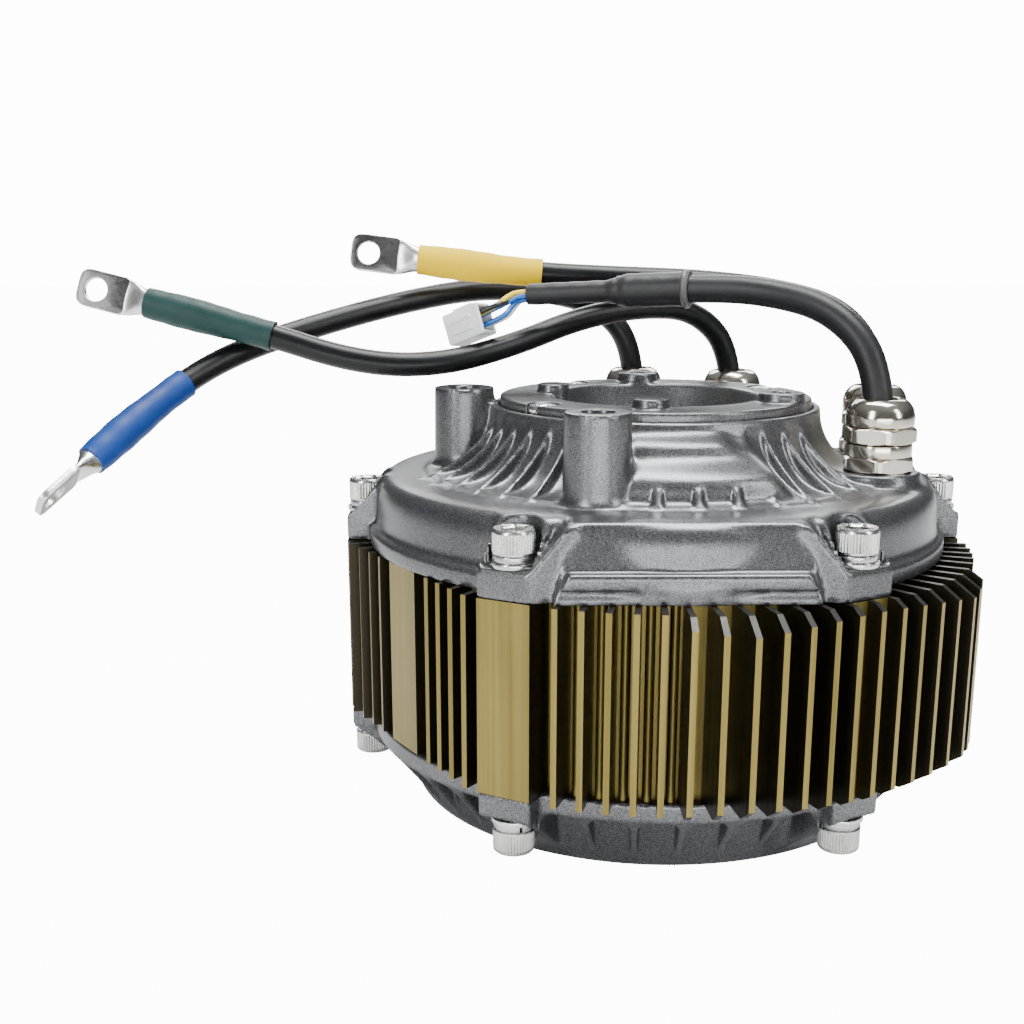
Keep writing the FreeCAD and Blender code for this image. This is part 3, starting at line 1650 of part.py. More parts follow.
bearing(
    "base_bearing",
    s.base_bearing_bore,
    s.base_bearing_outside,
    base_bearing_low,
    int(float(s.base_ball_count)),
)
bearing(
    "cover_bearing",
    s.cover_bearing_bore,
    s.cover_bearing_outside,
    cover_bearing_low,
    int(float(s.cover_ball_count)),
)
preload_inner = s.base_bearing_outside - 5.0
preload_outer = s.base_bearing_outside - 0.2
preload_floor = s.base_floor - 0.5
node(
    turned(
        "bearing_preload_washer",
        [
            (preload_inner, preload_floor + s.preload_height - s.preload_thickness - 0.05),
            (preload_outer, preload_floor),
            (preload_outer, preload_floor + s.preload_thickness),
            (preload_inner, preload_floor + s.preload_height - 0.05),
        ],
    ),
    "bearing_preload_washer",
)
shaft_radius = s.cover_bearing_bore - s.shaft_fit
node(
    turned(
        "shaft_seal",
        [
            (shaft_radius + s.seal_lip_gap, seal_low + 0.8),
            (shaft_radius + 1.0, seal_low),
            (s.seal_outside - 0.05, seal_low),
            (s.seal_outside - 0.05, seal_high),
            (s.seal_outside - 2.2, seal_high),
            (s.seal_outside - 2.2, seal_low + 1.6),
            (shaft_radius + 2.4, seal_low + 1.6),
            (shaft_radius + 2.4, seal_high - 1.2),
            (shaft_radius + 1.1, seal_high - 1.2),
            (shaft_radius + s.seal_lip_gap, seal_low + 1.6),
        ],
    ),
    "shaft_seal",
)


# Check everything, then write one file for each sub-part
doc.recompute()
for thing in doc.Objects:
    state = set(thing.State)
    if state & {"Invalid", "Error"}:
        raise RuntimeError("%s did not compute: %s" % (thing.Label, sorted(state)))
names = [thing.Label for thing in nodes]
if len(set(names)) != len(names):
    raise RuntimeError("two sub-parts share a name")
for thing in nodes:
    if thing.Shape.isNull() or not thing.Shape.isValid() or not thing.Shape.Solids:
        raise RuntimeError("%s has no valid solid" % thing.Label)
os.makedirs("parts", exist_ok=True)
for thing in nodes:
    thing.Shape.exportStep("parts/%s.step" % thing.Label)
print("%d sub-parts written" % len(nodes))
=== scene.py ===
# Electric motorcycle motor: the look of each piece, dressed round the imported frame.
import bmesh
import bpy
import math
from mathutils import Matrix, Vector


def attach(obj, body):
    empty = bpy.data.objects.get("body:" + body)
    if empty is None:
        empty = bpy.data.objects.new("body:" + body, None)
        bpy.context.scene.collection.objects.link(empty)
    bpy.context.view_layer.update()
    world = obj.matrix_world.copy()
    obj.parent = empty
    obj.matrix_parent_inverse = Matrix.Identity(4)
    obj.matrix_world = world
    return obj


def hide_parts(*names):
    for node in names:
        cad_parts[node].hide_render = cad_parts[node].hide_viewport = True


for leftover in [bpy.data.objects.get(name) for name in ("Cube", "Light", "Camera")]:
    if leftover:
        bpy.data.objects.remove(leftover)

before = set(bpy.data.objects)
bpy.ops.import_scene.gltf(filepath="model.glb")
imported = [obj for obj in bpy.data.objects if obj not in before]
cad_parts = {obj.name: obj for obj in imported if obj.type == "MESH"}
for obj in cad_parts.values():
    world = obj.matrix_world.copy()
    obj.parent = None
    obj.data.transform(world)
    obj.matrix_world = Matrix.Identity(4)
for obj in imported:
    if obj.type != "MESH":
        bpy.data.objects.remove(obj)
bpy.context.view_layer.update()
mm = 0.001
up = Vector((0, 0, 1))
link = bpy.context.scene.collection.objects.link


# node trees written as expressions
class Wire:
    # a socket that can be calculated with: each operator adds one Math node
    def __init__(self, tree, socket):
        self.tree = tree
        self.socket = socket

    def calc(self, operation, *others):
        return self.tree.add("Math", [self, *others], operation=operation)

    def __add__(self, other):
        return self.calc("ADD", other)

    def __sub__(self, other):
        return self.calc("SUBTRACT", other)

    def __mul__(self, other):
        return self.calc("MULTIPLY", other)

    def __truediv__(self, other):
        return self.calc("DIVIDE", other)

    def __pow__(self, other):
        return self.calc("POWER", other)

    def __rsub__(self, other):
        return self.tree.add("Math", [other, self], operation="SUBTRACT")

    def __neg__(self):
        return 0 - self

    def __abs__(self):
        return self.calc("ABSOLUTE")

    __radd__ = __add__
    __rmul__ = __mul__

    def melt(self, other, softness):
        # both shapes together, with a fillet where they meet
        return self.calc("SMOOTH_MIN", other, softness)

    def trim(self, other, softness):
        # what both shapes share, with a rounded edge
        return self.calc("SMOOTH_MAX", other, softness)

    def carve(self, hole, softness=0.6):
        return self.trim(-hole, softness)

    def join(self, other):
        return self.calc("MINIMUM", other)

    def clip(self, other):
        return self.calc("MAXIMUM", other)

    def clamp(self, low, high):
        return self.clip(low).join(high)


class Tree:
    def __init__(self, nodeTree):
        self.made = nodeTree

    def add(self, kind, sockets=(), out=0, **settings):
        # a kind that isn't a geometry node is a shader node
        if not kind.startswith(("Geometry", "NodeGroup")):
            kind = "ShaderNode" + kind
        node = self.made.nodes.new(kind)
        for name, value in settings.items():
            if name == "stops":
                ramp = node.color_ramp.elements
                while len(ramp) < len(value):
                    ramp.new(0.5)
                for stop, (place, colour) in zip(ramp, value):
                    stop.position = place
                    stop.color = (*colour, 1)
            else:
                setattr(node, name, value)
        pairs = sockets.items() if isinstance(sockets, dict) else enumerate(sockets)
        for key, value in pairs:
            if isinstance(value, Wire):
                self.made.links.new(value.socket, node.inputs[key])
            elif value is not None:
                node.inputs[key].default_value = value
        return Wire(self, node.outputs[out]) if len(node.outputs) else None


def hypot(a, b):
    return (a * a + b * b) ** 0.5


# camera, floor and light
photo = {"pixels": 1024, "focal": 1364.97, "centreRow": 577.79}
cameraAt = Vector((-0.04348, -0.36956, 0.14928))  # fitted to points of the photo
cameraLook = Vector((0.0131, 0.9702, -0.2421))

camera = bpy.data.objects.new("camera", bpy.data.cameras.new("camera"))
link(camera)
camera.data.sensor_width = 36
camera.data.lens = photo["focal"] / photo["pixels"] * camera.data.sensor_width
camera.data.shift_y = (photo["centreRow"] - photo["pixels"] / 2) / photo["pixels"]
camera.data.clip_start = 0.01
camera.location = cameraAt
camera.rotation_mode = "QUATERNION"
camera.rotation_quaternion = cameraLook.to_track_quat("-Z", "Y")
bpy.context.scene.camera = camera

softboxes = {  # place, size and power of each lamp; all of them aim at the motor's middle
    "over": ((0.05, 0.05, 0.95), (0.8, 0.35), 20),
    "frontLeft": ((-0.80, -0.90, 0.50), (0.25, 0.8), 11),
    "frontRight": ((0.85, -0.70, 0.60), (0.2, 0.8), 7),
    "back": ((0.10, 0.85, 0.60), (1.0, 0.3), 10),
    "low": ((0.05, -1.0, 0.06), (0.9, 0.12), 4),
}
for name, (place, extent, power) in softboxes.items():
    lamp = bpy.data.objects.new(name, bpy.data.lights.new(name, "AREA"))
    lamp.data.shape = "RECTANGLE"
    lamp.data.size, lamp.data.size_y = extent
    lamp.data.energy = power
    lamp.location = place
    lamp.rotation_euler = (Vector((0, 0, 0.06)) - Vector(place)).to_track_quat("-Z", "Y").to_euler()
    link(lamp)


def freshTree(owner):
    # the node tree of a world or a material, emptied
    owner.use_nodes = True
    owner.node_tree.nodes.clear()
    return Tree(owner.node_tree)


whitePaper = 14.0  # how bright the wall and the floor look to the camera
world = bpy.data.worlds.new("studio")
sky = freshTree(world)
rayHeading = sky.add("TexCoord", (), "Generated")
rayHeight = sky.add("SeparateXYZ", [rayHeading], "Z")
skyStops = [(0.30, (0.03, 0.03, 0.03)), (0.60, (0.10, 0.10, 0.105)), (1.0, (0.42, 0.43, 0.44))]
wallTone = sky.add("ValToRGB", [rayHeight * 0.5 + 0.5], stops=skyStops)
dimWall = sky.add("Background", [wallTone, 1.0])
paleWall = sky.add("Background", [(1, 1, 1, 1), whitePaper])
seen = sky.add("LightPath", (), "Is Camera Ray")
sky.add("OutputWorld", [sky.add("MixShader", [seen, dimWall, paleWall])])
bpy.context.scene.world = world
print("camera and light ready")


# finishes: noise on the object's own coordinates gives each its grain and wear; the anodised finish also paints
# shade on the fin flanks, and the lugs' palm finish is painted shade
def finish(name, build):
    # a new material; build(tree) returns the values of the shader's sockets
    material = bpy.data.materials.new(name)
    tree = freshTree(material)
    tree.position = tree.add("TexCoord", (), "Object")
    shader = tree.add("BsdfPrincipled", build(tree))
    tree.add("OutputMaterial", [shader])
    return material


def speckle(tree, scale, detail=2.0, stretch=None):
    position = tree.position
    if stretch:
        position = tree.add("Mapping", {"Vector": position, "Scale": stretch})
    return tree.add("TexNoise", {"Vector": position, "Scale": scale, "Detail": detail})


def blend(tree, amount, low, high):
    return tree.add("Mix", {0: amount, 6: low, 7: high}, 2, data_type="RGBA")


def tint(tree, amount, low, high):
    return blend(tree, amount, (*low, 1), (*high, 1))


def relief(tree, height, depth, strength=1.0):
    return tree.add("Bump", {"Height": height, "Distance": depth * mm, "Strength": strength})


def castCoating(tree):
    flakes = speckle(tree, 3000, 3.0)
    sparks = speckle(tree, 6000, 1.0)
    clouds = speckle(tree, 22, 3.0)
    lit = ((flakes - 0.5) * 1.5 + (sparks - 0.5) * 1.2 + (clouds - 0.5) * 0.5 + 0.40).clamp(0, 1)
    return {
        "Base Color": tint(tree, lit, (0.046, 0.047, 0.050), (0.250, 0.253, 0.262)),
        "Metallic": 0.85,
        "Roughness": 0.31 + (flakes - 0.5) * 0.22,
        "Normal": relief(tree, flakes * 0.7 + sparks * 0.5, 0.025, 0.5),
    }


def anodised(tree):
    lines = speckle(tree, 900, 2.0, (1, 1, 0.01))
    broad = speckle(tree, 120, 2.0, (1, 1, 0.05))
    patches = speckle(tree, 30, 3.0)
    facing = tree.add("TexCoord", (), "Normal")
    flat = tree.add("VectorMath", [tree.position, (1, 1, 0)], operation="MULTIPLY")
    outward = tree.add("VectorMath", [flat], operation="NORMALIZE")
    outward = tree.add("VectorMath", [outward, facing], 1, operation="DOT_PRODUCT")
    # painted shade: faces turned sideways, the fin flanks in the gaps, are painted near-black as the shade
    # between the fins; faces that point outwards keep the gold
    tipsOutOfPaintedShade = ((outward - 0.35) * 2.6).clamp(0, 1)
    level = abs(tree.add("SeparateXYZ", [facing], "Z"))
    # faces that point up or down are made near-black
    upOrDownFaces = ((level - 0.5) * 8).clamp(0, 1)
    tone = ((lines - 0.5) * 1.1 + (broad - 0.5) * 0.9 + (patches - 0.5) * 0.5 + 0.5).clamp(0, 1)
    gold = tint(tree, tone, (0.130, 0.098, 0.022), (0.270, 0.215, 0.062))
    skin = blend(tree, tipsOutOfPaintedShade, (0.020, 0.017, 0.008, 1), gold)
    return {
        "Base Color": blend(tree, upOrDownFaces, skin, (0.035, 0.034, 0.032, 1)),
        "Metallic": 0.8,
        "Roughness": 0.38 + (lines - 0.5) * 0.22 + (patches - 0.5) * 0.1,
        "Normal": relief(tree, lines + broad * 0.5, 0.02, 0.5),
    }


def metal(low, high, roughness, scale=900, depth=0.01, stretch=None, streaks=0.18):
    def build(tree):
        grain = speckle(tree, scale, 3.0, stretch)
        wear = speckle(tree, scale * 0.07, 3.0)
        mottle = ((wear - 0.5) * 1.6 + (grain - 0.5) * 0.6 + 0.5).clamp(0, 1)
        return {
            "Base Color": tint(tree, mottle, low, high),
            "Metallic": 1.0,
            "Roughness": (roughness + (grain - 0.5) * streaks + (wear - 0.5) * streaks).clamp(0.04, 1),
            "Normal": relief(tree, grain, depth, 0.5),
        }

    return build


def plastic(low, high, roughness, scale=700, depth=0.02, shine=0.5):
    def build(tree):
        grain = speckle(tree, scale, 3.0)
        cloud = speckle(tree, scale * 0.08, 2.0)
        mottle = ((cloud - 0.5) * 1.8 + (grain - 0.5) * 0.5 + 0.5).clamp(0, 1)
        return {
            "Base Color": tint(tree, mottle, low, high),
            "Roughness": (roughness + (grain - 0.5) * 0.15 + (cloud - 0.5) * 0.12).clamp(0.05, 1),
            "Specular IOR Level": shine,
            "Normal": relief(tree, grain + cloud, depth, 0.5),
        }

    return build


def laminated(tree):
    height = tree.add("SeparateXYZ", [tree.position], "Z")
    sheetsPerMetre = 2000
    sheets = (height * round(2 * math.pi * sheetsPerMetre)).calc("SINE") * 0.5 + 0.5
    return {
        "Base Color": tint(tree, sheets, (0.10, 0.10, 0.105), (0.34, 0.34, 0.35)),
        "Metallic": 0.9,
        "Roughness": 0.45 + sheets * 0.1,
        "Normal": relief(tree, sheets, 0.05, 0.5),
    }


def woundCopper(tree):
    rounds = {"Vector": tree.position, "Scale": 300.0, "Distortion": 1.5}
    turns = tree.add("TexWave", rounds, 1, bands_direction="Z")
    cloud = speckle(tree, 60)
    copper = (turns * 0.7 + (cloud - 0.5)).clamp(0, 1)
    return {
        "Base Color": tint(tree, copper, (0.20, 0.045, 0.015), (0.72, 0.27, 0.10)),
        "Metallic": 0.9,
        "Roughness": 0.30 + turns * 0.12,
        "Normal": relief(tree, turns, 0.15, 0.6),
    }


def boardGreen(tree):
    bricks = {"Vector": tree.position, "Scale": 180.0, "Mortar Size": 0.05}
    tracks = tree.add("TexBrick", bricks, "Fac")
    grain = speckle(tree, 500)
    return {
        "Base Color": tint(tree, tracks * 0.8, (0.008, 0.07, 0.03), (0.03, 0.20, 0.09)),
        "Roughness": 0.35 + grain * 0.15,
        "Normal": relief(tree, tracks, 0.03, 0.4),
    }


finishes = {
    "castCoating": castCoating,
    "anodisedGold": anodised,
    "stainless": metal((0.42, 0.42, 0.41), (0.80, 0.80, 0.79), 0.24, 1400, 0.006),
    "springSteel": metal((0.30, 0.30, 0.31), (0.66, 0.66, 0.67), 0.28, 1400, 0.006),
    "nickelPlate": metal((0.48, 0.44, 0.36), (0.72, 0.68, 0.60), 0.16, 500, 0.008, None, 0.10),
    "machinedEdge": metal((0.50, 0.50, 0.50), (0.86, 0.86, 0.85), 0.36, 1200, 0.01),
    "tinnedCopper": metal((0.50, 0.50, 0.49), (0.90, 0.90, 0.89), 0.30, 700, 0.03),
    # painted shade: a dark metal for the flats of the lug palms
    "palmPaintedShade": metal((0.06, 0.06, 0.06), (0.20, 0.20, 0.20), 0.34, 900, 0.02),
    "shaftSteel": metal((0.30, 0.30, 0.31), (0.58, 0.58, 0.59), 0.26, 900, 0.006, (1, 1, 14)),
    "bearingSteel": metal((0.45, 0.45, 0.46), (0.74, 0.74, 0.75), 0.15, 900, 0.003),
    "cageBrass": metal((0.42, 0.28, 0.09), (0.74, 0.55, 0.24), 0.30, 800, 0.01),
    "magnetPlate": metal((0.34, 0.35, 0.36), (0.60, 0.61, 0.62), 0.22, 600, 0.004),
    "cableBlack": plastic((0.002, 0.002, 0.002), (0.006, 0.006, 0.007), 0.36, 900, 0.012, 0.28),
    "sensorJacket": plastic((0.006, 0.006, 0.007), (0.014, 0.014, 0.015), 0.46, 1100, 0.03, 0.35),
    "shrinkYellow": plastic((0.70, 0.45, 0.0), (0.80, 0.54, 0.0), 0.55, 500, 0.04, 0.1),
    "shrinkGreen": plastic((0.001, 0.020, 0.018), (0.003, 0.036, 0.032), 0.50, 500, 0.04, 0.3),
    "shrinkBlue": plastic((0.001, 0.028, 0.15), (0.003, 0.048, 0.25), 0.50, 500, 0.04, 0.3),
    "shrinkBlack": plastic((0.007, 0.007, 0.008), (0.016, 0.016, 0.017), 0.46, 600, 0.05, 0.35),
    "bandGrey": plastic((0.05, 0.05, 0.05), (0.11, 0.11, 0.11), 0.45, 700, 0.02),
    "plugNylon": plastic((0.74, 0.75, 0.74), (0.88, 0.89, 0.88), 0.38, 500, 0.01),
    "wireBlue": plastic((0.01, 0.10, 0.42), (0.02, 0.16, 0.55), 0.38, 900, 0.01),
    "wireYellow": plastic((0.72, 0.50, 0.01), (0.85, 0.64, 0.03), 0.38, 900, 0.01),
    "wireBlack": plastic((0.008, 0.008, 0.008), (0.02, 0.02, 0.02), 0.38, 900, 0.01),
    "wireWhite": plastic((0.66, 0.66, 0.66), (0.82, 0.82, 0.82), 0.38, 900, 0.01),
    "rubberBlack": plastic((0.010, 0.010, 0.010), (0.025, 0.025, 0.025), 0.60, 800, 0.02),
    "insulatorIvory": plastic((0.55, 0.52, 0.42), (0.74, 0.71, 0.60), 0.45, 400, 0.01),
    "laminations": laminated,
    "woundCopper": woundCopper,
    "boardGreen": boardGreen,
}
finishes = {name: finish(name, build) for name, build in finishes.items()}

# the floor looks white to the camera, and lights the motor only as grey paper would
paper = bpy.data.materials.new("floorPaper")
paperTree = freshTree(paper)
greyPaper = {"Base Color": (0.80, 0.80, 0.80, 1), "Roughness": 0.8}
matt = paperTree.add("BsdfPrincipled", greyPaper)
glow = paperTree.add("Emission", [(1, 1, 1, 1), whitePaper])
direct = paperTree.add("LightPath", (), "Is Camera Ray")
floorShader = paperTree.add("MixShader", [direct * 0.93, matt, glow])
paperTree.add("OutputMaterial", [floorShader])

floorMesh = bpy.data.meshes.new("floor")
half = 4.0
corners = [(x * half, y * half, 0) for x, y in ((-1, -1), (1, -1), (1, 1), (-1, 1))]
floorMesh.from_pydata(corners, [], [(0, 1, 2, 3)])
floorSheet = bpy.data.objects.new("floor", floorMesh)
floorMesh.materials.append(paper)
link(floorSheet)
print("finishes ready")


# making meshes and putting them in the scene
def piece(node, mesh, look, sharp=35):
    # puts a finished mesh in the scene in place of a CAD node, under the motor's body
    made = bpy.data.objects.new(node + "_look", mesh)
    link(made)
    if look:
        mesh.materials.clear()
        mesh.materials.append(finishes[look])
    mesh.polygons.foreach_set("use_smooth", [True] * len(mesh.polygons))
    mesh.set_sharp_from_angle(angle=math.radians(sharp))
    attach(made, "motor")
    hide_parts(node)
    return made


def meshOf(shape, name):
    # a bmesh in millimetres becomes a mesh in metres, closed and facing outwards
    bmesh.ops.remove_doubles(shape, verts=shape.verts, dist=0.001)
    bmesh.ops.recalc_face_normals(shape, faces=shape.faces)
    bmesh.ops.scale(shape, vec=(mm, mm, mm), verts=shape.verts)
    mesh = bpy.data.meshes.new(name)
    shape.to_mesh(mesh)
    shape.free()
    return mesh


def rounded(outline, radius, steps=3, closed=True):
    # the same outline with an arc in place of each corner, at most this share of its sides
    share = 0.45
    points = []
    count = len(outline)
    for i, corner in enumerate(outline):
        here = Vector(corner)
        if not closed and i in (0, count - 1):
            points.append(here)
            continue
        into = Vector(outline[i - 1]) - here
        out = Vector(outline[(i + 1) % count]) - here
        reach = min(radius, into.length * share, out.length * share)
        into.normalize()
        out.normalize()
        for step in range(steps + 1):
            t = step / steps
            points.append(here + into * reach * (1 - t) ** 2 + out * reach * t ** 2)
    return [(p.x, p.y) for p in points]


def ringSkin(shape, rings, capStart=False, capEnd=False, loop=False):
    # faces between neighbouring rings of points; a loop comes back to its first ring
    if loop:
        rings = [*rings, rings[0]]
    rows = [[shape.verts.new(p) for p in ring] for ring in rings]
    count = len(rows[0])
    for low, high in zip(rows, rows[1:]):
        for i in range(count):
            j = (i + 1) % count
            shape.faces.new((low[i], low[j], high[j], high[i]))
    if capStart:
        shape.faces.new(rows[0][::-1])
    if capEnd:
        shape.faces.new(rows[-1])


def ringMesh(name, rings, **ends):
    shape = bmesh.new()
    ringSkin(shape, rings, **ends)
    return meshOf(shape, name)


def ringAt(height, steps, reachAt):
    # a ring of points about the axis; reachAt gives the radius at a step and its angle
    ring = []
    for i in range(steps):
        angle = 2 * math.pi * i / steps
        reach = reachAt(i, angle)
        ring.append((reach * math.cos(angle), reach * math.sin(angle), height))
    return ring


def turnedRings(outline, steps=72):
    # one ring for each point of an outline of (radius, height)
    return [ringAt(height, steps, lambda i, angle: radius) for radius, height in outline]


# cords: each is a smooth curve through the route's points
routes = {
    "yellow": [
        (61.96, 7.39, 97.5), (61.96, 7.39, 116.5), (53.5, 14.2, 130), (36, 24, 135), (14.5, 31, 137.2),
        (-9.5, 34.2, 138), (-34, 35.6, 139.2), (-58.3, 36.4, 142.2),
    ],
    "green": [
        (29.97, 52.32, 95.2), (29.97, 52.32, 114.6), (17.3, 46.9, 128.4), (-1, 40.6, 129.4), (-19, 32, 126.4),
        (-38, 20.5, 119.6), (-59, 11.5, 114.8), (-81, 9, 115.8), (-107.5, 10.5, 124.2), (-132, 13.3, 130.2),
    ],
    "blue": [
        (0.42, 60.5, 99.5), (0.42, 60.5, 116), (-10.5, 60.8, 128.9), (-28, 58, 133.4), (-48, 51.3, 134.4),
        (-70, 39.4, 130.9), (-93.5, 27.4, 125), (-115.5, 15.4, 118.2), (-131.5, 3.4, 108.6), (-144, -13.6, 96.6),
    ],
    "sensor": [
        (54.64, -24.79, 97), (54.64, -24.79, 116.5), (44.5, -15.8, 131.3), (27.5, -2.5, 135.8),
        (8, 6.5, 135.9), (-9, 12.4, 135),
    ],
}
cordPlan = {  # diameter in mm, finish, slot and the CAD node of each cord
    **{colour: (6.7, "cableBlack", "phase_cable_black", colour + "_phase_cable")
       for colour in ("yellow", "green", "blue")},
    "sensor": (7.5, "sensorJacket", "sensor_cable_grey", "sensor_cable"),
}
glandTop = 109.8


def curveThrough(name, points, radius, look=None):
    # control points in millimetres; the ends are met exactly
    data = bpy.data.curves.new(name, "CURVE")
    data.dimensions = "3D"
    data.resolution_u = 10
    spline = data.splines.new("NURBS")
    spline.points.add(len(points) - 1)
    for point, place in zip(spline.points, points):
        point.co = (*(Vector(place) * mm), 1)
    spline.order_u = 3
    spline.use_endpoint_u = True
    data.bevel_depth = radius * mm
    data.bevel_resolution = 6
    data.use_fill_caps = True
    if look:
        data.materials.append(finishes[look])
    made = bpy.data.objects.new(name, data)
    link(made)
    return made


def shownMesh(made):
    graph = bpy.context.evaluated_depsgraph_get()
    return bpy.data.meshes.new_from_object(made.evaluated_get(graph))


def lineOf(points):
    # the places, in millimetres, that a curve with these control points runs through
    probe = curveThrough("probe", points, 0)
    mesh = shownMesh(probe)
    places = [vertex.co / mm for vertex in mesh.vertices]
    data = probe.data
    bpy.data.objects.remove(probe)
    bpy.data.curves.remove(data)
    bpy.data.meshes.remove(mesh)
    return places


def lengthOf(line):
    return sum((b - a).length for a, b in zip(line, line[1:]))


cordLines = {}
for colour, (diameter, look, slotName, node) in cordPlan.items():
    cord = curveThrough(colour + "Cord", routes[colour], diameter / 2, look)
    cordLines[colour] = lineOf(routes[colour])
    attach(cord, "motor")
    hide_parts(node)
    print("cord", colour, round(lengthOf(cordLines[colour]), 1))


# pieces whose shape follows a rule: a distance field, or one part repeated
def ruledMesh(name, sizes, build, source=None):
    # runs a Geometry Nodes tree with named sizes and keeps the mesh that comes out
    group = bpy.data.node_groups.new(name, "GeometryNodeTree")
    tree = Tree(group)
    group.interface.new_socket("Geometry", in_out="INPUT", socket_type="NodeSocketGeometry")
    group.interface.new_socket("Geometry", in_out="OUTPUT", socket_type="NodeSocketGeometry")
    places = {
        key: group.interface.new_socket(key, in_out="INPUT", socket_type="NodeSocketFloat").identifier
        for key in sizes
    }
    entry = group.nodes.new("NodeGroupInput")
    wires = {key: Wire(tree, entry.outputs[key]) for key in sizes}
    result, look = build(tree, Wire(tree, entry.outputs["Geometry"]), wires)
    whole = tree.add("GeometryNodeRealizeInstances", [result])
    painted = tree.add("GeometryNodeSetMaterial", {"Geometry": whole, "Material": look})
    tree.add("NodeGroupOutput", [painted])
    holder = bpy.data.objects.new(name, source or bpy.data.meshes.new(name))
    link(holder)
    modifier = holder.modifiers.new("rule", "NODES")
    modifier.node_group = group
    for key, value in sizes.items():
        modifier[places[key]] = float(value)
    mesh = shownMesh(holder)
    mesh.name = name
    holder.modifiers.remove(modifier)
    bpy.data.objects.remove(holder)
    return mesh


def splitVector(tree, vector):
    node = tree.add("SeparateXYZ", [vector]).socket.node
    return [Wire(tree, socket) for socket in node.outputs]


def casting(name, box, voxel, sizes, field, look):
    # box in millimetres; field gives the distance to the surface, negative inside
    low, high = box

    def build(tree, entry, wires):
        place = tree.add("GeometryNodeInputPosition")
        place = tree.add("VectorMath", {"Vector": place, "Scale": 1 / mm}, operation="SCALE")
        distance = field(tree, *splitVector(tree, place), wires)
        counts = [round((b - a) / voxel) for a, b in zip(low, high)]
        solid = 10.0  # the density at the surface; less outside, and more inside
        cube = tree.add("GeometryNodeVolumeCube", {
            "Density": (solid - distance).clip(0.0),
            "Background": 0.0,
            "Min": Vector(low) * mm,
            "Max": Vector(high) * mm,
            "Resolution X": counts[0],
            "Resolution Y": counts[1],
            "Resolution Z": counts[2],
        })
        cut = {"Volume": cube, "Threshold": solid, "Adaptivity": 0.0}
        skin = tree.add("GeometryNodeVolumeToMesh", cut, resolution_mode="GRID")
        return skin, finishes[look]

    return ruledMesh(name, sizes, build)


def thinned(mesh, ratio, hidden):
    # fewer faces; hidden(place in mm) says where the mesh is thinned much more
    hiddenCut = 0.92
    holder = bpy.data.objects.new("thinning", mesh)
    link(holder)
    hiddenPoints = [v.index for v in mesh.vertices if hidden(v.co / mm)]
    if hiddenPoints:
        holder.vertex_groups.new(name="hidden").add(hiddenPoints, 1.0, "REPLACE")
        inside = holder.modifiers.new("inside", "DECIMATE")
        inside.vertex_group = "hidden"
        inside.ratio = 1 - hiddenCut * len(hiddenPoints) / len(mesh.vertices)
    outside = holder.modifiers.new("outside", "DECIMATE")
    outside.ratio = ratio
    lighter = shownMesh(holder)
    bpy.data.objects.remove(holder)
    return lighter


def turnedAbout(x, y, degrees):
    # the same place seen from an arm at this angle: along the arm, and across it
    c, s = math.cos(math.radians(degrees)), math.sin(math.radians(degrees))
    return x * c + y * s, y * c - x * s


def fromSpot(x, y, degrees, far):
    # how far a place is from the axis of a boss or a hole
    along, across = turnedAbout(x, y, degrees)
    return hypot(along - far, across)


def onArm(reach, local):
    return reach * local.calc("COSINE"), reach * local.calc("SINE")


def sector(reach, angle, first, pitch, count):
    # folds a group of evenly spaced ribs onto one: along and across that rib
    index = ((angle * (180 / math.pi) - first) / pitch).calc("ROUND").clamp(0, count - 1)
    along, across = onArm(reach, angle - (index * pitch + first) * (math.pi / 180))
    return along, abs(across)


def columnFold(reach, angle):
    # folds the six screw columns onto the one at zero degrees
    return onArm(reach, angle - (angle * (3 / math.pi)).calc("ROUND") * (math.pi / 3))


lugPlan = {  # the six lugs and their screws, the same on both covers
    "screwCircle": 78.0, "outerFace": 83.25, "halfWidth": 6.9, "pocketRadius": 6.2, "holeRadius": 3.3,
    "upperSeat": 76.8, "lowerSeat": 15.8,
}


def lugBlock(along, across, slant):
    return (abs(across) - lugPlan["halfWidth"]).trim(along - lugPlan["outerFace"], 0.8).trim(slant, 1.6)


def screwSeat(body, along, across, beyondSeat):
    # a pocket for the screw's head, open outwards, and the hole for its shank
    inwards = (along - lugPlan["screwCircle"]).join(0.0)
    pocket = (hypot(inwards, across) - lugPlan["pocketRadius"]).trim(beyondSeat, 0.8)
    hole = hypot(along - lugPlan["screwCircle"], across) - lugPlan["holeRadius"]
    return body.carve(pocket, 1.0).carve(hole, 0.4)


coverSizes = {
    "rimRadius": 77.4, "wallRadius": 75.4, "shoulderTop": 88.0, "lipTop": 106.0, "ribThickness": 1.2,
}
hubRibs = [(-165.5, 8.2, 6), (-68.0, 9.0, 4), (26.0, 8.2, 3), (110.0, 8.2, 6)]
tallBosses = [(-110.0, 56.0), (178.0, 51.4)]
glandSpots = [(-24.4, 60.0), (6.8, 62.4), (60.2, 60.3), (89.6, 60.5)]
bossSizes = {  # the two tall bosses with their webs, and the pads under the cable glands
    "root": 84.0, "postTop": 110.0, "postRadius": 8.0, "threadRadius": 4.0, "threadEnd": 90.6,
    "webHalf": 4.0, "padTop": 91.5, "padRadius": 10.6, "cableHole": 6.0,
}
panelSizes = {
    "face": 72.2, "halfWidth": 27.2, "top": 87.6, "cheekSide": 35.65,
    "beadFace": 77.2, "beadHeight": 74.8, "beadHalf": 1.9, "beadReach": 29.0,
}
coverSeam = 69.5
coverBores = [  # radius, floor and ceiling
    (33.3, 86.0, 200), (21.0, 79.5, 200), (20.0, 78.0, 200), (23.5, 40.0, 78),
]


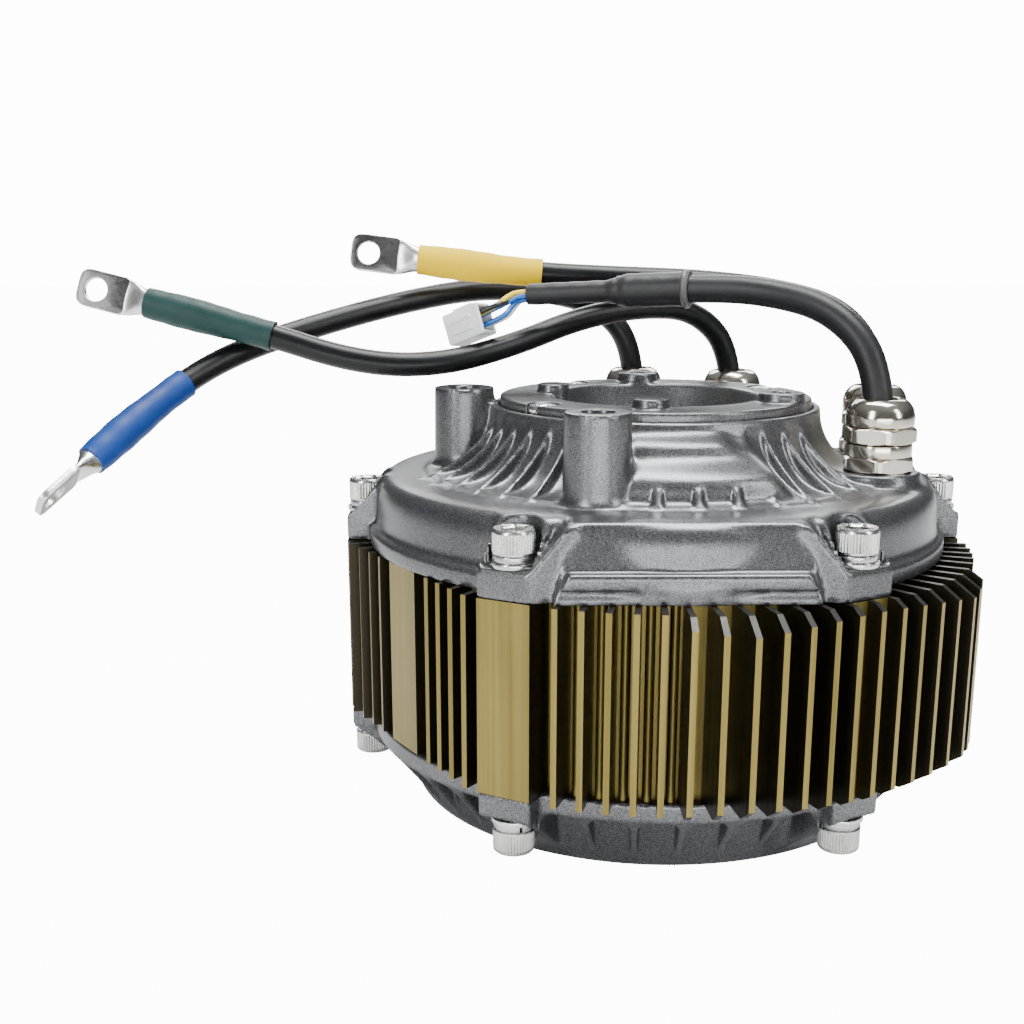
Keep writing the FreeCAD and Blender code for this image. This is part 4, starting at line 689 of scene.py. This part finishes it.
def coverField(tree, x, y, z, size):
    seat, outerFace = lugPlan["upperSeat"], lugPlan["outerFace"]
    belowRoot = bossSizes["root"] - z
    reach = hypot(x, y)
    angle = y.calc("ARCTAN2", x)
    rim = (reach - size["rimRadius"]).trim(z - 74.0, 1.6)
    wall = (reach - size["wallRadius"] + (z - 74) * 0.05).trim(z - size["shoulderTop"], 9.0)
    body = rim.melt(wall, 3.0)
    flank = (17.2 - hypot(reach - 61.2, z - 105.6)).trim(reach - 61.2, 1.0).trim(z - size["lipTop"], 1.4)
    body = body.melt(flank, 4.0)
    # the two cast steps in front of the hub, on an arc
    ahead, aside = sector(reach, angle, -90.0, 360.0, 1)
    upperTier = (reach - 50.2).trim(z - 103.6 + (reach - 44) * 0.35, 4.0)
    upperTier = upperTier.trim((aside - 11 - (104 - z) * 0.7) * 0.8, 3.5).trim(20 - ahead, 1)
    ahead, aside = sector(reach, angle, -84.0, 360.0, 1)
    lowerTier = (reach - 58.9).trim(z - 98.9 + (reach - 50) * 0.5, 5.0)
    lowerTier = lowerTier.trim((aside - 15 - (99 - z) * 0.8) * 0.78, 4.0).trim(20 - ahead, 1)
    body = body.melt(upperTier.trim(86 - z, 1), 3.5).melt(lowerTier.trim(86 - z, 1), 4.0)
    # thin ribs up the flank, like fins
    for first, pitch, count in hubRibs:
        along, across = sector(reach, angle, first, pitch, count)
        edge = 48.0 - hypot(along - 81.9, z - 132.5)
        rib = edge.trim(across - size["ribThickness"] / 2 + edge.join(0.0) * 0.12, 0.8)
        rib = rib.trim(along - 66, 0.5).trim(20 - along, 1).trim(z - 104.6, 1.0)
        body = body.melt(rib, 1.5)
    along, across = sector(reach, angle, -95.3, 9.0, 3)
    foot = (along - 62.1).trim(z - 88.8 + (along - 62.1) * 1.36, 1.2).trim(z - 92.6, 1.0)
    foot = foot.trim(across - 0.98, 1.0).trim(50 - along, 0.5).trim(belowRoot, 0.5)
    body = body.melt(foot, 1.6)
    postTop = bossSizes["postTop"]
    for spot, far in tallBosses:
        along, across = turnedAbout(x, y, spot)
        post = hypot(along - far, across) - bossSizes["postRadius"] - (postTop - z) * 0.012
        post = post.trim(z - postTop, 0.5)
        web = (abs(across) - bossSizes["webHalf"] - (104 - z) * 0.06).trim(along - far, 1)
        web = web.trim(42.6 - along, 0.5)
        web = web.trim(z - 104.6 + (along - 43) * 0.22, 1.5)
        body = body.melt(post.trim(belowRoot, 0.5), 3.2).melt(web.trim(belowRoot, 0.5), 2.4)
    padTop = bossSizes["padTop"]
    for spot in glandSpots:
        pad = fromSpot(x, y, *spot) - bossSizes["padRadius"] - (padTop - z) * 0.15
        pad = pad.trim(z - padTop, 1.2)
        body = body.melt(pad.trim(belowRoot, 0.5), 3.0)
    # six lugs with pockets for the screw heads
    along, across = columnFold(reach, angle)
    slant = (along - outerFace) * 0.713 + (z - seat) * 0.7016
    lug = lugBlock(along, across, slant).trim(z - 87.2, 1.4).trim(60 - along, 1)
    body = body.melt(lug, 1.5)
    # the flat panel in front, with its side facets and its bead
    front = -y - panelSizes["face"] - (87 - z) * 0.26
    slab = front.trim(abs(x) - panelSizes["halfWidth"] - (86.6 - z) * 0.2, 2.4)
    slab = slab.trim(z - panelSizes["top"], 2.0).trim(y + 60, 1)
    inFromSide = panelSizes["cheekSide"] - abs(x)
    cheek = (inFromSide * 0.236 - (y + 75.55) * 0.972).trim((z - seat - inFromSide * 1.2) * 0.64, 0.7)
    cheek = cheek.trim(abs(x) - 35.2, 0.5).trim(24 - abs(x), 1).trim(z - 87.0, 1.5).trim(y + 60, 1)
    bead = (-y - panelSizes["beadFace"]).trim(abs(z - panelSizes["beadHeight"]) - panelSizes["beadHalf"], 0.9)
    bead = bead.trim(abs(x) - panelSizes["beadReach"] + (z - 73) * 0.5, 0.9).trim(y + 70, 1)
    body = body.melt(cheek, 0.8).melt(slab, 0.8).melt(bead, 0.8)
    body = screwSeat(body.trim(coverSeam - z, 1.0), along, across, seat - z)
    spigot = (reach - 68.9).clip(z - 74).clip(66.5 - z)
    body = body.melt(spigot, 0.5)
    # the hollow inside, the bearing seat and the recess for the hub plate
    hollow = (reach - 69.0).trim(z - 83.8, 5.0).clip(28 - reach)
    body = body.clip(-hollow)
    tube = (reach - 28).clip(65.5 - z).clip(z - 84)
    body = body.join(tube)
    bores = (reach - 42).trim(101 - z, 0.4)
    for radius, floor, ceiling in coverBores:
        bores = bores.join((reach - radius).clip(floor - z).clip(z - ceiling))
    body = body.carve(bores, 0.7)
    for spot in tallBosses:
        thread = (fromSpot(x, y, *spot) - bossSizes["threadRadius"]).trim(bossSizes["threadEnd"] - z, 0.3)
        body = body.carve(thread, 0.5)
    for spot in glandSpots:
        body = body.clip(bossSizes["cableHole"] - fromSpot(x, y, *spot))
    return body


baseSizes = {"rimRadius": 77.2, "ribPitch": 9.0, "ribThickness": 1.9}


def baseField(tree, x, y, z, size):
    reach = hypot(x, y)
    angle = y.calc("ARCTAN2", x)
    rim = (reach - size["rimRadius"]).trim(16.8 - z, 1.8).trim(z - 22, 0.8)
    bowl = ((reach - 65.9 - (z - 3.2) * 0.27) * 0.965).trim(-z, 5.0).trim(z - 22, 0.5)
    body = rim.melt(bowl, 1.8)
    index = ((angle * (180 / math.pi) - 0.5) / size["ribPitch"]).calc("ROUND")
    middle = index * size["ribPitch"] + 0.5
    along, across = onArm(reach, angle - middle * (math.pi / 180))
    fromColumn = abs(middle - (middle / 60).calc("ROUND") * 60)
    flare = (z - 13.6).clamp(0, 3.4)
    rib = (abs(across) - size["ribThickness"] / 2 - flare * flare * 0.2).trim(
        (along - 66.6 - (z - 4.6) * 0.82) * 0.77, 0.8
    )
    rib = rib.trim(along - 76.4, 0.8).trim(1.6 - z, 1.4).trim(z - 19, 0.5)
    rib = rib + fromColumn.calc("LESS_THAN", 7.0) * 20  # no rib beside a lug
    body = body.melt(rib, 0.9)
    along, across = columnFold(reach, angle)
    slant = (along - lugPlan["outerFace"]) * 0.581 - (z - lugPlan["lowerSeat"]) * 0.814
    lug = lugBlock(along, across, slant).trim(3.6 - z, 1.2).trim(z - 22, 0.8)
    body = body.melt(lug.trim(50 - along, 1), 3.4)
    body = screwSeat(body, along, across, z - lugPlan["lowerSeat"])
    spigot = (reach - 68.9).clip(z - 25).clip(18 - z)
    body = body.join(spigot)
    bowlInside = (reach - 65.6).trim((reach - 57.4 - (z - 5.5) * 0.73) * 0.81, 2.0).trim(5.5 - z, 2.0)
    bowlInside = bowlInside.clip(25.5 - reach)
    body = body.clip(-bowlInside)
    bore = (reach - 21).clip(5 - z)
    top = (reach - 25.6).clip(18 - z)
    return body.clip(-bore.join(top))


plateSizes = {"plateRadius": 41.7, "plateTop": 108.2, "bossTop": 110.8, "screwCircle": 37.65}
dishLines = [(28.2, 108.2, 0.45), (26.4, 103.8, 0.61), (22.8, 97.9, 0.80), (18.4, 92.4, 0.96)]
plateBosses = [(173.0, 27.4, 4.2), (-98.2, 33.0, 4.4), (92.0, 34.0, 5.7), (-32.0, 36.0, 5.9)]
plateScrewAngles = [-144.5, 30.0, 122.0]
plateScrewSeat = 105.6
plateHoles = {"screw": 4.15, "thread": 2.5, "threadEnd": 103.3}


def plateField(tree, x, y, z, size):
    reach = hypot(x, y)
    disc = (reach - size["plateRadius"]).trim(z - size["plateTop"], 1.1).trim(101 - z, 0.4)
    body = disc.melt((reach - 33).clip(86.3 - z).clip(z - 106), 0.3)
    posts = []
    for spot, far, radius in plateBosses:
        post = fromSpot(x, y, spot, far) - radius - (size["bossTop"] - z) * 0.05
        post = post.trim(z - size["bossTop"], 0.8)
        posts.append(post.trim(98 - z if far < 30 else 104 - z, 0.5))
    dish = None
    for radius, height, slope in dishLines:
        plane = (reach - radius - (z - height) * slope) / math.hypot(1, slope)
        dish = dish.trim(plane, 1.6) if dish else plane
    dish = dish.trim(87.8 - z, 0.5).join(reach - 14)
    body = body.carve(dish, 1.3)
    for post in posts:
        body = body.melt(post, 1.6)
    for spot in plateScrewAngles:
        sunk = fromSpot(x, y, spot, size["screwCircle"]) - plateHoles["screw"]
        sunk = sunk.trim(plateScrewSeat - z, 0.3)
        body = body.carve(sunk, 0.7)
    for spot, far, radius in plateBosses[2:]:
        thread = (fromSpot(x, y, spot, far) - plateHoles["thread"]).trim(plateHoles["threadEnd"] - z, 0.3)
        body = body.carve(thread, 0.7)
    return body


castings = {  # box and voxel in mm, sizes, field, the share of faces kept, and what is out of sight
    "cable_side_cover": (
        ((-86, -86, 64), (86, 86, 113)), 0.62, coverSizes, coverField, 0.62,
        lambda p, reach: p.z < 69.9 or reach < 41 or (reach < 68.6 and p.z < 83.6),
    ),
    "base_cover": (
        ((-86, -86, -3), (86, 86, 28)), 0.66, baseSizes, baseField, 0.62,
        lambda p, reach: p.z > 22.2 or (reach < 65 and p.z > 4.9),
    ),
    "hub_plate": (
        ((-44, -44, 84), (44, 44, 113)), 0.42, plateSizes, plateField, 0.8,
        lambda p, reach: p.z < 100.8 and reach > 28 or p.z < 87.5,
    ),
}
machinedAbove = {"cable_side_cover": 109.6, "hub_plate": 110.5}  # mm; boss tops that a cutter has touched
for node, (box, voxel, sizes, field, share, outOfSight) in castings.items():
    mesh = casting(node + "Casting", box, voxel, sizes, field, "castCoating")
    mesh = thinned(mesh, share, lambda p: outOfSight(p, math.hypot(p.x, p.y)))
    piece(node, mesh, None, 50)
    if node in machinedAbove:
        mesh.materials.append(finishes["machinedEdge"])
        for face in mesh.polygons:
            if face.normal.z > 0.9 and face.center.z / mm > machinedAbove[node]:
                face.material_index = 1
    print(node, len(mesh.polygons), "faces")
print("castings ready")


# repeated hardware: one unit and the places where it stands
def repeated(node, unit, places, look, sharp=35):
    # places: (point in mm, rotation in degrees about x, y and z)
    name = node + "_look"
    spots = bpy.data.meshes.new(name + "Spots")
    spots.from_pydata([Vector(point) * mm for point, turn in places], [], [])
    turns = spots.attributes.new("turn", "FLOAT_VECTOR", "POINT")
    for i, (point, turn) in enumerate(places):
        turns.data[i].vector = [math.radians(a) for a in turn]
    unitObject = bpy.data.objects.new(name + "Unit", unit)
    link(unitObject)

    def build(tree, entry, wires):
        shape = tree.add("GeometryNodeObjectInfo", {"Object": unitObject}, "Geometry")
        turn = tree.add("GeometryNodeInputNamedAttribute", {"Name": "turn"}, data_type="FLOAT_VECTOR")
        scale = tree.add("CombineXYZ", [wires["scale"]] * 3)
        spot = {"Points": entry, "Instance": shape, "Rotation": turn, "Scale": scale}
        return tree.add("GeometryNodeInstanceOnPoints", spot), finishes[look]

    mesh = ruledMesh(name, {"scale": 1.0}, build, spots)
    bpy.data.objects.remove(unitObject)
    piece(node, mesh, None, sharp)


def hexReach(flats, angle):
    fold = (angle + math.pi / 6) % (math.pi / 3) - math.pi / 6
    return flats / 2 / math.cos(fold)


def socketScrew(name, head, headHeight, socket, depth, shank, length, teeth=40):
    # height 0 is the seat under the head; each ring has a radius, a height and a kind
    mouth = headHeight - 0.5
    outline = [
        (shank - 0.4, -length, ""), (shank, -length + 0.4, ""), (shank, -0.3, ""), (shank + 0.3, 0, ""),
        (head - 0.35, 0, ""), (head, 0.3, ""), (head, 0.7, ""), (head, 0.72, "knurl"),
        (head, headHeight - 1.0, "knurl"), (head, headHeight - 0.9, ""), (head - 0.1, headHeight - 0.35, ""),
        (head - 0.42, headHeight, ""), (socket / 2 + 0.75, headHeight, ""),
        (socket + 0.5, headHeight - 0.25, "hex"), (socket, mouth, "hex"),
        (socket, headHeight - depth, "hex"), (socket * 0.6, headHeight - depth - 0.4, "hex"),
    ]
    rings = []
    for radius, height, kind in outline:
        def reachAt(i, angle):
            if kind == "hex":
                return hexReach(radius, angle)
            return radius - 0.22 if kind == "knurl" and i % 3 == 0 else radius

        rings.append(ringAt(height, teeth * 3, reachAt))
    return ringMesh(name, rings, capStart=True, capEnd=True)


def washer(name, inner, outer, thick, edge, slit=0.0):
    # a flat ring, or with a slit one whose ends stand apart and lifted
    outline = rounded([(inner, 0), (outer, 0), (outer, thick), (inner, thick)], edge, 2)
    steps = 56
    if not slit:
        return ringMesh(name, turnedRings(outline, steps), loop=True)
    rings = []
    gap = slit / outer
    for i in range(steps + 1):
        angle = gap / 2 + (2 * math.pi - gap) * i / steps
        lift = 0.22 * (i / steps - 0.5)
        rings.append([(r * math.cos(angle), r * math.sin(angle), z + lift) for r, z in outline])
    return ringMesh(name, rings, capStart=True, capEnd=True)


def onCircle(radius, degrees, height):
    a = math.radians(degrees)
    return (radius * math.cos(a), radius * math.sin(a), height)


caseScrew = socketScrew("caseScrew", head=5.0, headHeight=6.0, socket=5.0, depth=3.1, shank=2.9, length=20.0)
springRing = washer("springRing", inner=3.1, outer=4.9, thick=1.45, edge=0.12, slit=0.8)
flatRing = washer("flatRing", inner=3.2, outer=5.5, thick=1.2, edge=0.2)
hardware = {  # unit, seat height, flip, turn from one to the next, finish
    "upper_case_screws": (caseScrew, 79.6, 0, 23, "stainless"),
    "lower_case_screws": (caseScrew, 13.0, 180, 31, "stainless"),
    "upper_spring_washers": (springRing, 78.07, 0, 77, "springSteel"),
    "lower_spring_washers": (springRing, 14.53, 180, 58, "springSteel"),
    "upper_flat_washers": (flatRing, lugPlan["upperSeat"], 0, 0, "stainless"),
    "lower_flat_washers": (flatRing, lugPlan["lowerSeat"], 180, 0, "stainless"),
}
for node, (unit, height, flip, turn, look) in hardware.items():
    places = [(onCircle(lugPlan["screwCircle"], 60 * i, height), (flip, 0, turn * (i + 1))) for i in range(6)]
    repeated(node, unit, places, look)
plateScrew = socketScrew(
    "plateScrew", head=3.9, headHeight=2.2, socket=2.5, depth=1.4, shank=1.9, length=9.0, teeth=30
)
places = [(onCircle(plateSizes["screwCircle"], a, plateScrewSeat), (0, 0, a)) for a in plateScrewAngles]
repeated("hub_plate_screws", plateScrew, places, "stainless")
print("screws ready")


# cable glands: hexagons with turned corners, a collar and a dome
glandHex = {"flats": 17, "corner": 8.35}


def hexRings(low, high):
    # rings up a hexagon whose corners are turned off at 30 degrees
    slopes = [0.0, 0.12, 0.25, 0.4, 0.6]
    rows = []
    for height in [low + d for d in slopes] + [high - d for d in reversed(slopes)]:
        turned = glandHex["corner"] + min(height - low, high - height) / math.tan(math.radians(30))
        rows.append(ringAt(height, 72, lambda i, angle: min(hexReach(glandHex["flats"], angle), turned)))
    return rows


def glandBody(name):
    rings = turnedRings([(5.9, -8), (7.6, -8), (7.9, -7.6), (7.9, 0.0)])
    rings += hexRings(0, 3.8)
    rings += turnedRings(rounded([(8.0, 3.8), (8.4, 3.9), (8.4, 7.0), (6.9, 7.2)], 0.3, 3, False))
    rings += turnedRings([(6.9, 11.4), (5.9, 11.4)])
    return ringMesh(name, rings, loop=True)


def glandNut(name):
    rings = turnedRings([(7.05, 7.25), (7.9, 7.25)])
    rings += hexRings(7.25, 11.3)
    dome = [
        (8.05, 11.35), (8.5, 11.6), (8.6, 12.4), (8.62, 14.2), (8.15, 16.0),
        (7.1, 17.5), (5.7, 18.3), (4.9, 18.3), (4.6, 17.9),
    ]
    rings += turnedRings(rounded(dome, 0.7, 4, False))
    rings += turnedRings([(4.6, 15.5), (7.05, 14.8)])
    return ringMesh(name, rings, loop=True)


glandUnits = {  # the unit, its first turn, and how much more each next one is turned
    "gland_bodies": (glandBody("glandBody"), 12, 17),
    "gland_nuts": (glandNut("glandNut"), 26, 11),
}
for node, (unit, first, step) in glandUnits.items():
    places = [(onCircle(far, a, bossSizes["padTop"]), (0, 0, a + first + step * i))
              for i, (a, far) in enumerate(glandSpots)]
    repeated(node, unit, places, "nickelPlate", 28)
print("glands ready")


# what sits on the cable ends
def endOf(points):
    # where the CAD route ends: its last point and direction
    return Vector(points[-1]), (Vector(points[-1]) - Vector(points[-2])).normalized()


def frameAt(tip, along, roll=0.0):
    # x runs along, y stays level; then a turn about x, in degrees
    across = up.cross(along).normalized()
    place = Matrix((along, across, along.cross(across))).transposed().to_4x4()
    return Matrix.Translation(tip) @ place @ Matrix.Rotation(math.radians(roll), 4, "X")


def stretchBefore(line, back):
    # the last part of a cable's line, this long, with its distances before the end
    kept = [(line[-1], 0.0)]
    gone = 0.0
    for b, a in zip(line[::-1], line[-2::-1]):
        step = (b - a).length
        if gone + step >= back:
            kept.append((b.lerp(a, (back - gone) / step), back))
            break
        gone += step
        kept.append((a, gone))
    return kept[::-1]


def sleeveMesh(name, line, along, back, ahead, wall, profile, steps=40):
    # profile gives the outer radius at a distance along the sleeve, 0 at its cable end
    places = [(point, back - before) for point, before in stretchBefore(line, back)]
    if ahead > 0:
        places += [(line[-1] + along * ahead * k / 8, back + ahead * k / 8) for k in range(1, 9)]
    count = 60
    fine = []
    for k in range(count + 1):
        want = (back + ahead) * k / count
        for (p, dp), (q, dq) in zip(places, places[1:]):
            if want <= dq + 1e-6:
                fine.append((p.lerp(q, (want - dp) / max(dq - dp, 1e-6)), want))
                break
    side = (fine[1][0] - fine[0][0]).cross(up).normalized()
    outer, inner = [], []
    for i, (point, at) in enumerate(fine):
        heading = (fine[min(i + 1, count)][0] - fine[max(i - 1, 0)][0]).normalized()
        side = (side - heading * side.dot(heading)).normalized()
        other = heading.cross(side)
        radius = profile(at)
        for reach, rows in ((radius, outer), (radius - wall, inner)):
            rows.append([point + (side * math.cos(t) + other * math.sin(t)) * reach
                         for t in [2 * math.pi * k / steps for k in range(steps)]])
    start, end = [[a.lerp(b, 0.5) for a, b in zip(outer[k], inner[k])] for k in (0, -1)]  # the lips
    return ringMesh(name, [start, *outer, end, *inner[::-1]], loop=True)


def bump(at, middle, width):
    return math.exp(-((at - middle) / width) ** 2)


def ease(x):
    x = min(max(x, 0), 1)
    return x * x * (3 - 2 * x)


def phaseProfile(seed):
    # the swells and dents of a phase cable's shrunk sleeve
    def radius(at):
        r = 4.02 + 0.34 * ease((at - 9) / 9) + 0.20 * bump(at, 24, 5.0) - 0.20 * bump(at, 36, 2.6)
        return r + 0.05 * math.sin(at * 0.9 + seed) + 0.07 * bump(at, 0.0, 1.2)

    return radius


lugSizes = {"neckEnd": 12.5, "palmWide": 10.4, "palmThick": 1.8, "eyeAt": 21.3, "eyeRadius": 3.2}
neckStations = [  # distance along, half width and half height
    (0.0, 2.9, 2.9), (0.0, 3.5, 3.5), (0.2, 3.6, 3.6), (6.4, 3.6, 3.6), (7.2, 3.62, 3.5),
    (8.6, 3.9, 2.8), (10.2, 4.4, 1.9), (11.6, 4.85, 1.2), (12.8, 5.0, 0.9), (13.6, 5.0, 0.86),
]


def lugMesh(name, place):
    shape = bmesh.new()
    # the crimped barrel and the neck that is pressed flat
    rings = []
    steps = 40
    for x, wide, tall in neckStations:
        flatter, squarer = (0.9, 0.55) if x > 9 else (1, 1)
        ring = []
        for k in range(steps):
            t = 2 * math.pi * k / steps
            c, s = math.cos(t), math.sin(t)
            y, z = math.copysign(abs(c) ** flatter, c), math.copysign(abs(s) ** squarer, s)
            ring.append((x, wide * y, tall * z))
        rings.append(ring)
    ringSkin(shape, rings, capStart=True, capEnd=True)
    # the palm with its eye: outline and hole share their steps
    count = 64
    eyeAt, eyeRadius = lugSizes["eyeAt"], lugSizes["eyeRadius"]
    half, thick = lugSizes["palmWide"] / 2, lugSizes["palmThick"] / 2
    rim, hole = [], []
    for k in range(count):
        t = 2 * math.pi * k / count
        c, s = math.cos(t), math.sin(t)
        reach = half / (c ** 4 + s ** 4) ** 0.25
        if c < 0:
            reach = min(half / max(abs(s), 1e-3), (eyeAt - lugSizes["neckEnd"]) / max(-c, 1e-3))
        rim.append(Vector((eyeAt + reach * c, reach * s)))
        hole.append(Vector((eyeAt + eyeRadius * c, eyeRadius * s)))
    centre = Vector((eyeAt, 0))
    rows = []
    for points, inset, height in (
        (rim, 0.0, -thick + 0.25), (rim, 0.0, thick - 0.25), (rim, 0.07, thick - 0.07), (rim, 0.25, thick),
        (hole, -0.2, thick), (hole, 0.0, thick - 0.2), (hole, 0.0, -thick + 0.2), (hole, -0.2, -thick),
        (rim, 0.25, -thick), (rim, 0.07, -thick + 0.07),
    ):
        moved = [p - (p - centre).normalized() * inset for p in points]
        rows.append([(p.x, p.y, height) for p in moved])
    ringSkin(shape, rows, loop=True)
    bmesh.ops.transform(shape, matrix=place, verts=shape.verts)
    return meshOf(shape, name)


phaseSleeve = {"back": 29.2, "ahead": 6.8, "wall": 0.5}
phaseEnds = {  # the sleeve's finish, and how far its ring lug is rolled, in degrees
    "yellow": ("shrinkYellow", -80), "green": ("shrinkGreen", -78), "blue": ("shrinkBlue", 43),
}
for n, (colour, (look, roll)) in enumerate(phaseEnds.items()):
    tip, along = endOf(routes[colour])
    place = frameAt(tip, along, roll)
    profile = phaseProfile(n * 2.1)
    mesh = sleeveMesh(colour + "Sleeve", cordLines[colour], along, profile=profile, **phaseSleeve)
    sleeve = piece(colour + "_phase_sleeve", mesh, look, 60)
    mesh = lugMesh(colour + "Lug", place)
    lug = piece(colour + "_ring_lug", mesh, "tinnedCopper", 40)
    # painted shade: the flat of the palm gets a dark metal, standing for the shaded reflection it shows; its
    # rim, neck and barrel stay bright
    facing = place.to_3x3() @ Vector((0, 0, 1))
    mesh.materials.append(finishes["palmPaintedShade"])
    for face in mesh.polygons:
        onPalm = (face.center / mm - tip).dot(along) > lugSizes["neckEnd"] - 1
        if onPalm and abs(face.normal.dot(facing)) > 0.99:
            face.material_index = 1


def thickProfile(at):
    return 4.55 + 0.16 * bump(at, 0, 1.0) - 0.5 * ease((at - 14.8) / 3.4) + 0.04 * math.sin(at * 1.3)


def thinProfile(at):
    wave = 0.05 * math.sin(at * 1.1 + 1)
    return 3.0 + 0.55 * (1 - ease((at - 0.5) / 3.5)) - 0.10 * ease((at - 18) / 8) + wave


def bandProfile(at):
    return 5.2 - 0.5 * bump(at, 0, 0.35) - 0.5 * bump(at, lengthOf(bandLine), 0.35)


sensorLine = cordLines["sensor"]
bandLine = [stretchBefore(sensorLine, 19.9 - 0.3 * k)[0][0] for k in range(7)]
tip, along = endOf(routes["sensor"])
place = frameAt(tip, along)
thinLine = [place @ Vector((0.1 + 26 * k / 12, 0, 0)) for k in range(13)]
sensorSleeves = {  # line, length back, length ahead, wall, profile, finish and slot
    "sensor_cable_sleeve": (sensorLine, 18.0, 0.3, 0.6, thickProfile, "shrinkBlack", "shrink_black"),
    "sensor_cable_ring": (bandLine, lengthOf(bandLine), 0.0, 1.3, bandProfile, "bandGrey", "grey_band"),
    "sensor_wire_sleeve": (thinLine, 26.0, 0.0, 0.55, thinProfile, "shrinkBlack", "shrink_black"),
}
for node, (line, back, ahead, wall, profile, look, slotName) in sensorSleeves.items():
    mesh = sleeveMesh(node + "Mesh", line, along, back, ahead, wall, profile)
    piece(node, mesh, look, 60)
print("cable ends ready")


# the white plug housing and its five wires
plugSizes = {"length": 12.0, "width": 7.6, "height": 8.8, "mouth": 4.0, "wall": 0.9}
plugEntry = Vector((-45.2, 16.6, 127.6))
plugHeading = Vector((-0.82, 0.44, -0.36)).normalized()
plugPlace = frameAt(plugEntry, plugHeading, 6)


def boxRings(stations, corner=0.45):
    # rounded rectangles along x: (x, half width, half height)
    rings = []
    for x, wide, tall in stations:
        points = rounded([(-wide, -tall), (wide, -tall), (wide, tall), (-wide, tall)], corner, 3)
        rings.append([(x, y, z) for y, z in points])
    return rings


def plugMesh(name):
    shape = bmesh.new()
    size = plugSizes
    w, h = size["width"] / 2, size["height"] / 2
    iw, ih = w - size["wall"], h - size["wall"]
    lip = (0.25, w - 0.25, h - 0.25)
    outside = [lip, (0.5, w, h), (size["length"] - 0.5, w, h), (size["length"], w - 0.4, h - 0.4)]
    mouth = [lip, (0.1, iw + 0.25, ih + 0.25), (0.3, iw, ih), (size["mouth"], iw, ih)]
    for stations in (outside, mouth):
        ringSkin(shape, boxRings(stations), capEnd=True)
    # a latch bar on top and two ribs along each side
    bars = [(0, h + 0.35, 6.0, 1.6, 0.6)]
    bars += [(side * (w + 0.25), z, 7.0, 0.5, 0.6) for side in (1, -1) for z in (1.6, -1.6)]
    for y, z, long, wide, tall in bars:
        bar = boxRings([
            (3.0, wide - 0.15, tall - 0.15), (3.2, wide, tall),
            (3.0 + long, wide, tall), (3.2 + long, wide - 0.15, tall - 0.15),
        ], 0.15)
        bar = [[(x, yy + y, zz + z) for x, yy, zz in ring] for ring in bar]
        ringSkin(shape, bar, capStart=True, capEnd=True)
    bmesh.ops.transform(shape, matrix=plugPlace, verts=shape.verts)
    return meshOf(shape, name)


plug = piece("sensor_connector", plugMesh("plug"), "plugNylon")
wireRadius = 0.75
for n, look in enumerate(["wireBlue", "wireYellow", "wireBlack", "wireWhite", "wireBlue"]):
    a = math.radians(72 * n)
    start = place @ Vector((1.2, math.cos(a), math.sin(a)))
    leaves = place @ Vector((28.0, 1.05 * math.cos(a), 1.05 * math.sin(a)))
    side, rise = (n % 3 - 1) * 1.75, 1.6 if n < 3 else -1.6
    near = plugPlace @ Vector((-3.4 - 0.4 * n, side * 1.1, rise * 1.2))
    inside = plugPlace @ Vector((3.95, side, rise))
    middle = (leaves + near) / 2 + Vector((0, 0.7 * (n - 2), 1.1 * math.sin(2.1 * n)))
    wire = curveThrough("sensor_wire_%d_look" % n, [start, leaves, middle, near, inside], wireRadius, look)
    wire.data.bevel_resolution = 3
    wire.data.resolution_u = 8
    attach(wire, "motor")
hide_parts("sensor_wires")
print("plug and wires ready")

# each cord's exit point at the top of its gland and its length in metres, worked out and left unused
for colour, (diameter, look, slotName, node) in cordPlan.items():
    exitPoint = Vector(routes[colour][0])
    exitPoint.z = glandTop
    length = lengthOf(cordLines[colour]) * mm

# carried-over CAD nodes and their finishes
dressing = {
    "anodisedGold": ["finned_shell"],
    "rubberBlack": ["gland_seals", "shaft_seal", "cover_seal_ring", "base_seal_ring"],
    "laminations": ["stator_core", "rotor_core"],
    "insulatorIvory": ["upper_slot_insulator", "lower_slot_insulator"],
    "woundCopper": ["coils"],
    "shaftSteel": ["rotor_shaft", "rotor_end_plates"],
    "magnetPlate": ["magnets", "sensor_magnet_ring"],
    "springSteel": ["shaft_circlip", "bearing_preload_washer"],
    "boardGreen": ["sensor_board"],
    "stainless": ["sensor_board_screws"],
    "bearingSteel": [end + "_bearing_" + part for end in ("base", "cover")
                     for part in ("inner_race", "outer_race", "balls")],
    "cageBrass": ["base_bearing_cage", "cover_bearing_cage"],
}
for look, nodes in dressing.items():
    for node in nodes:
        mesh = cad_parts[node].data
        mesh.materials.clear()
        mesh.materials.append(finishes[look])
print("CAD nodes dressed")
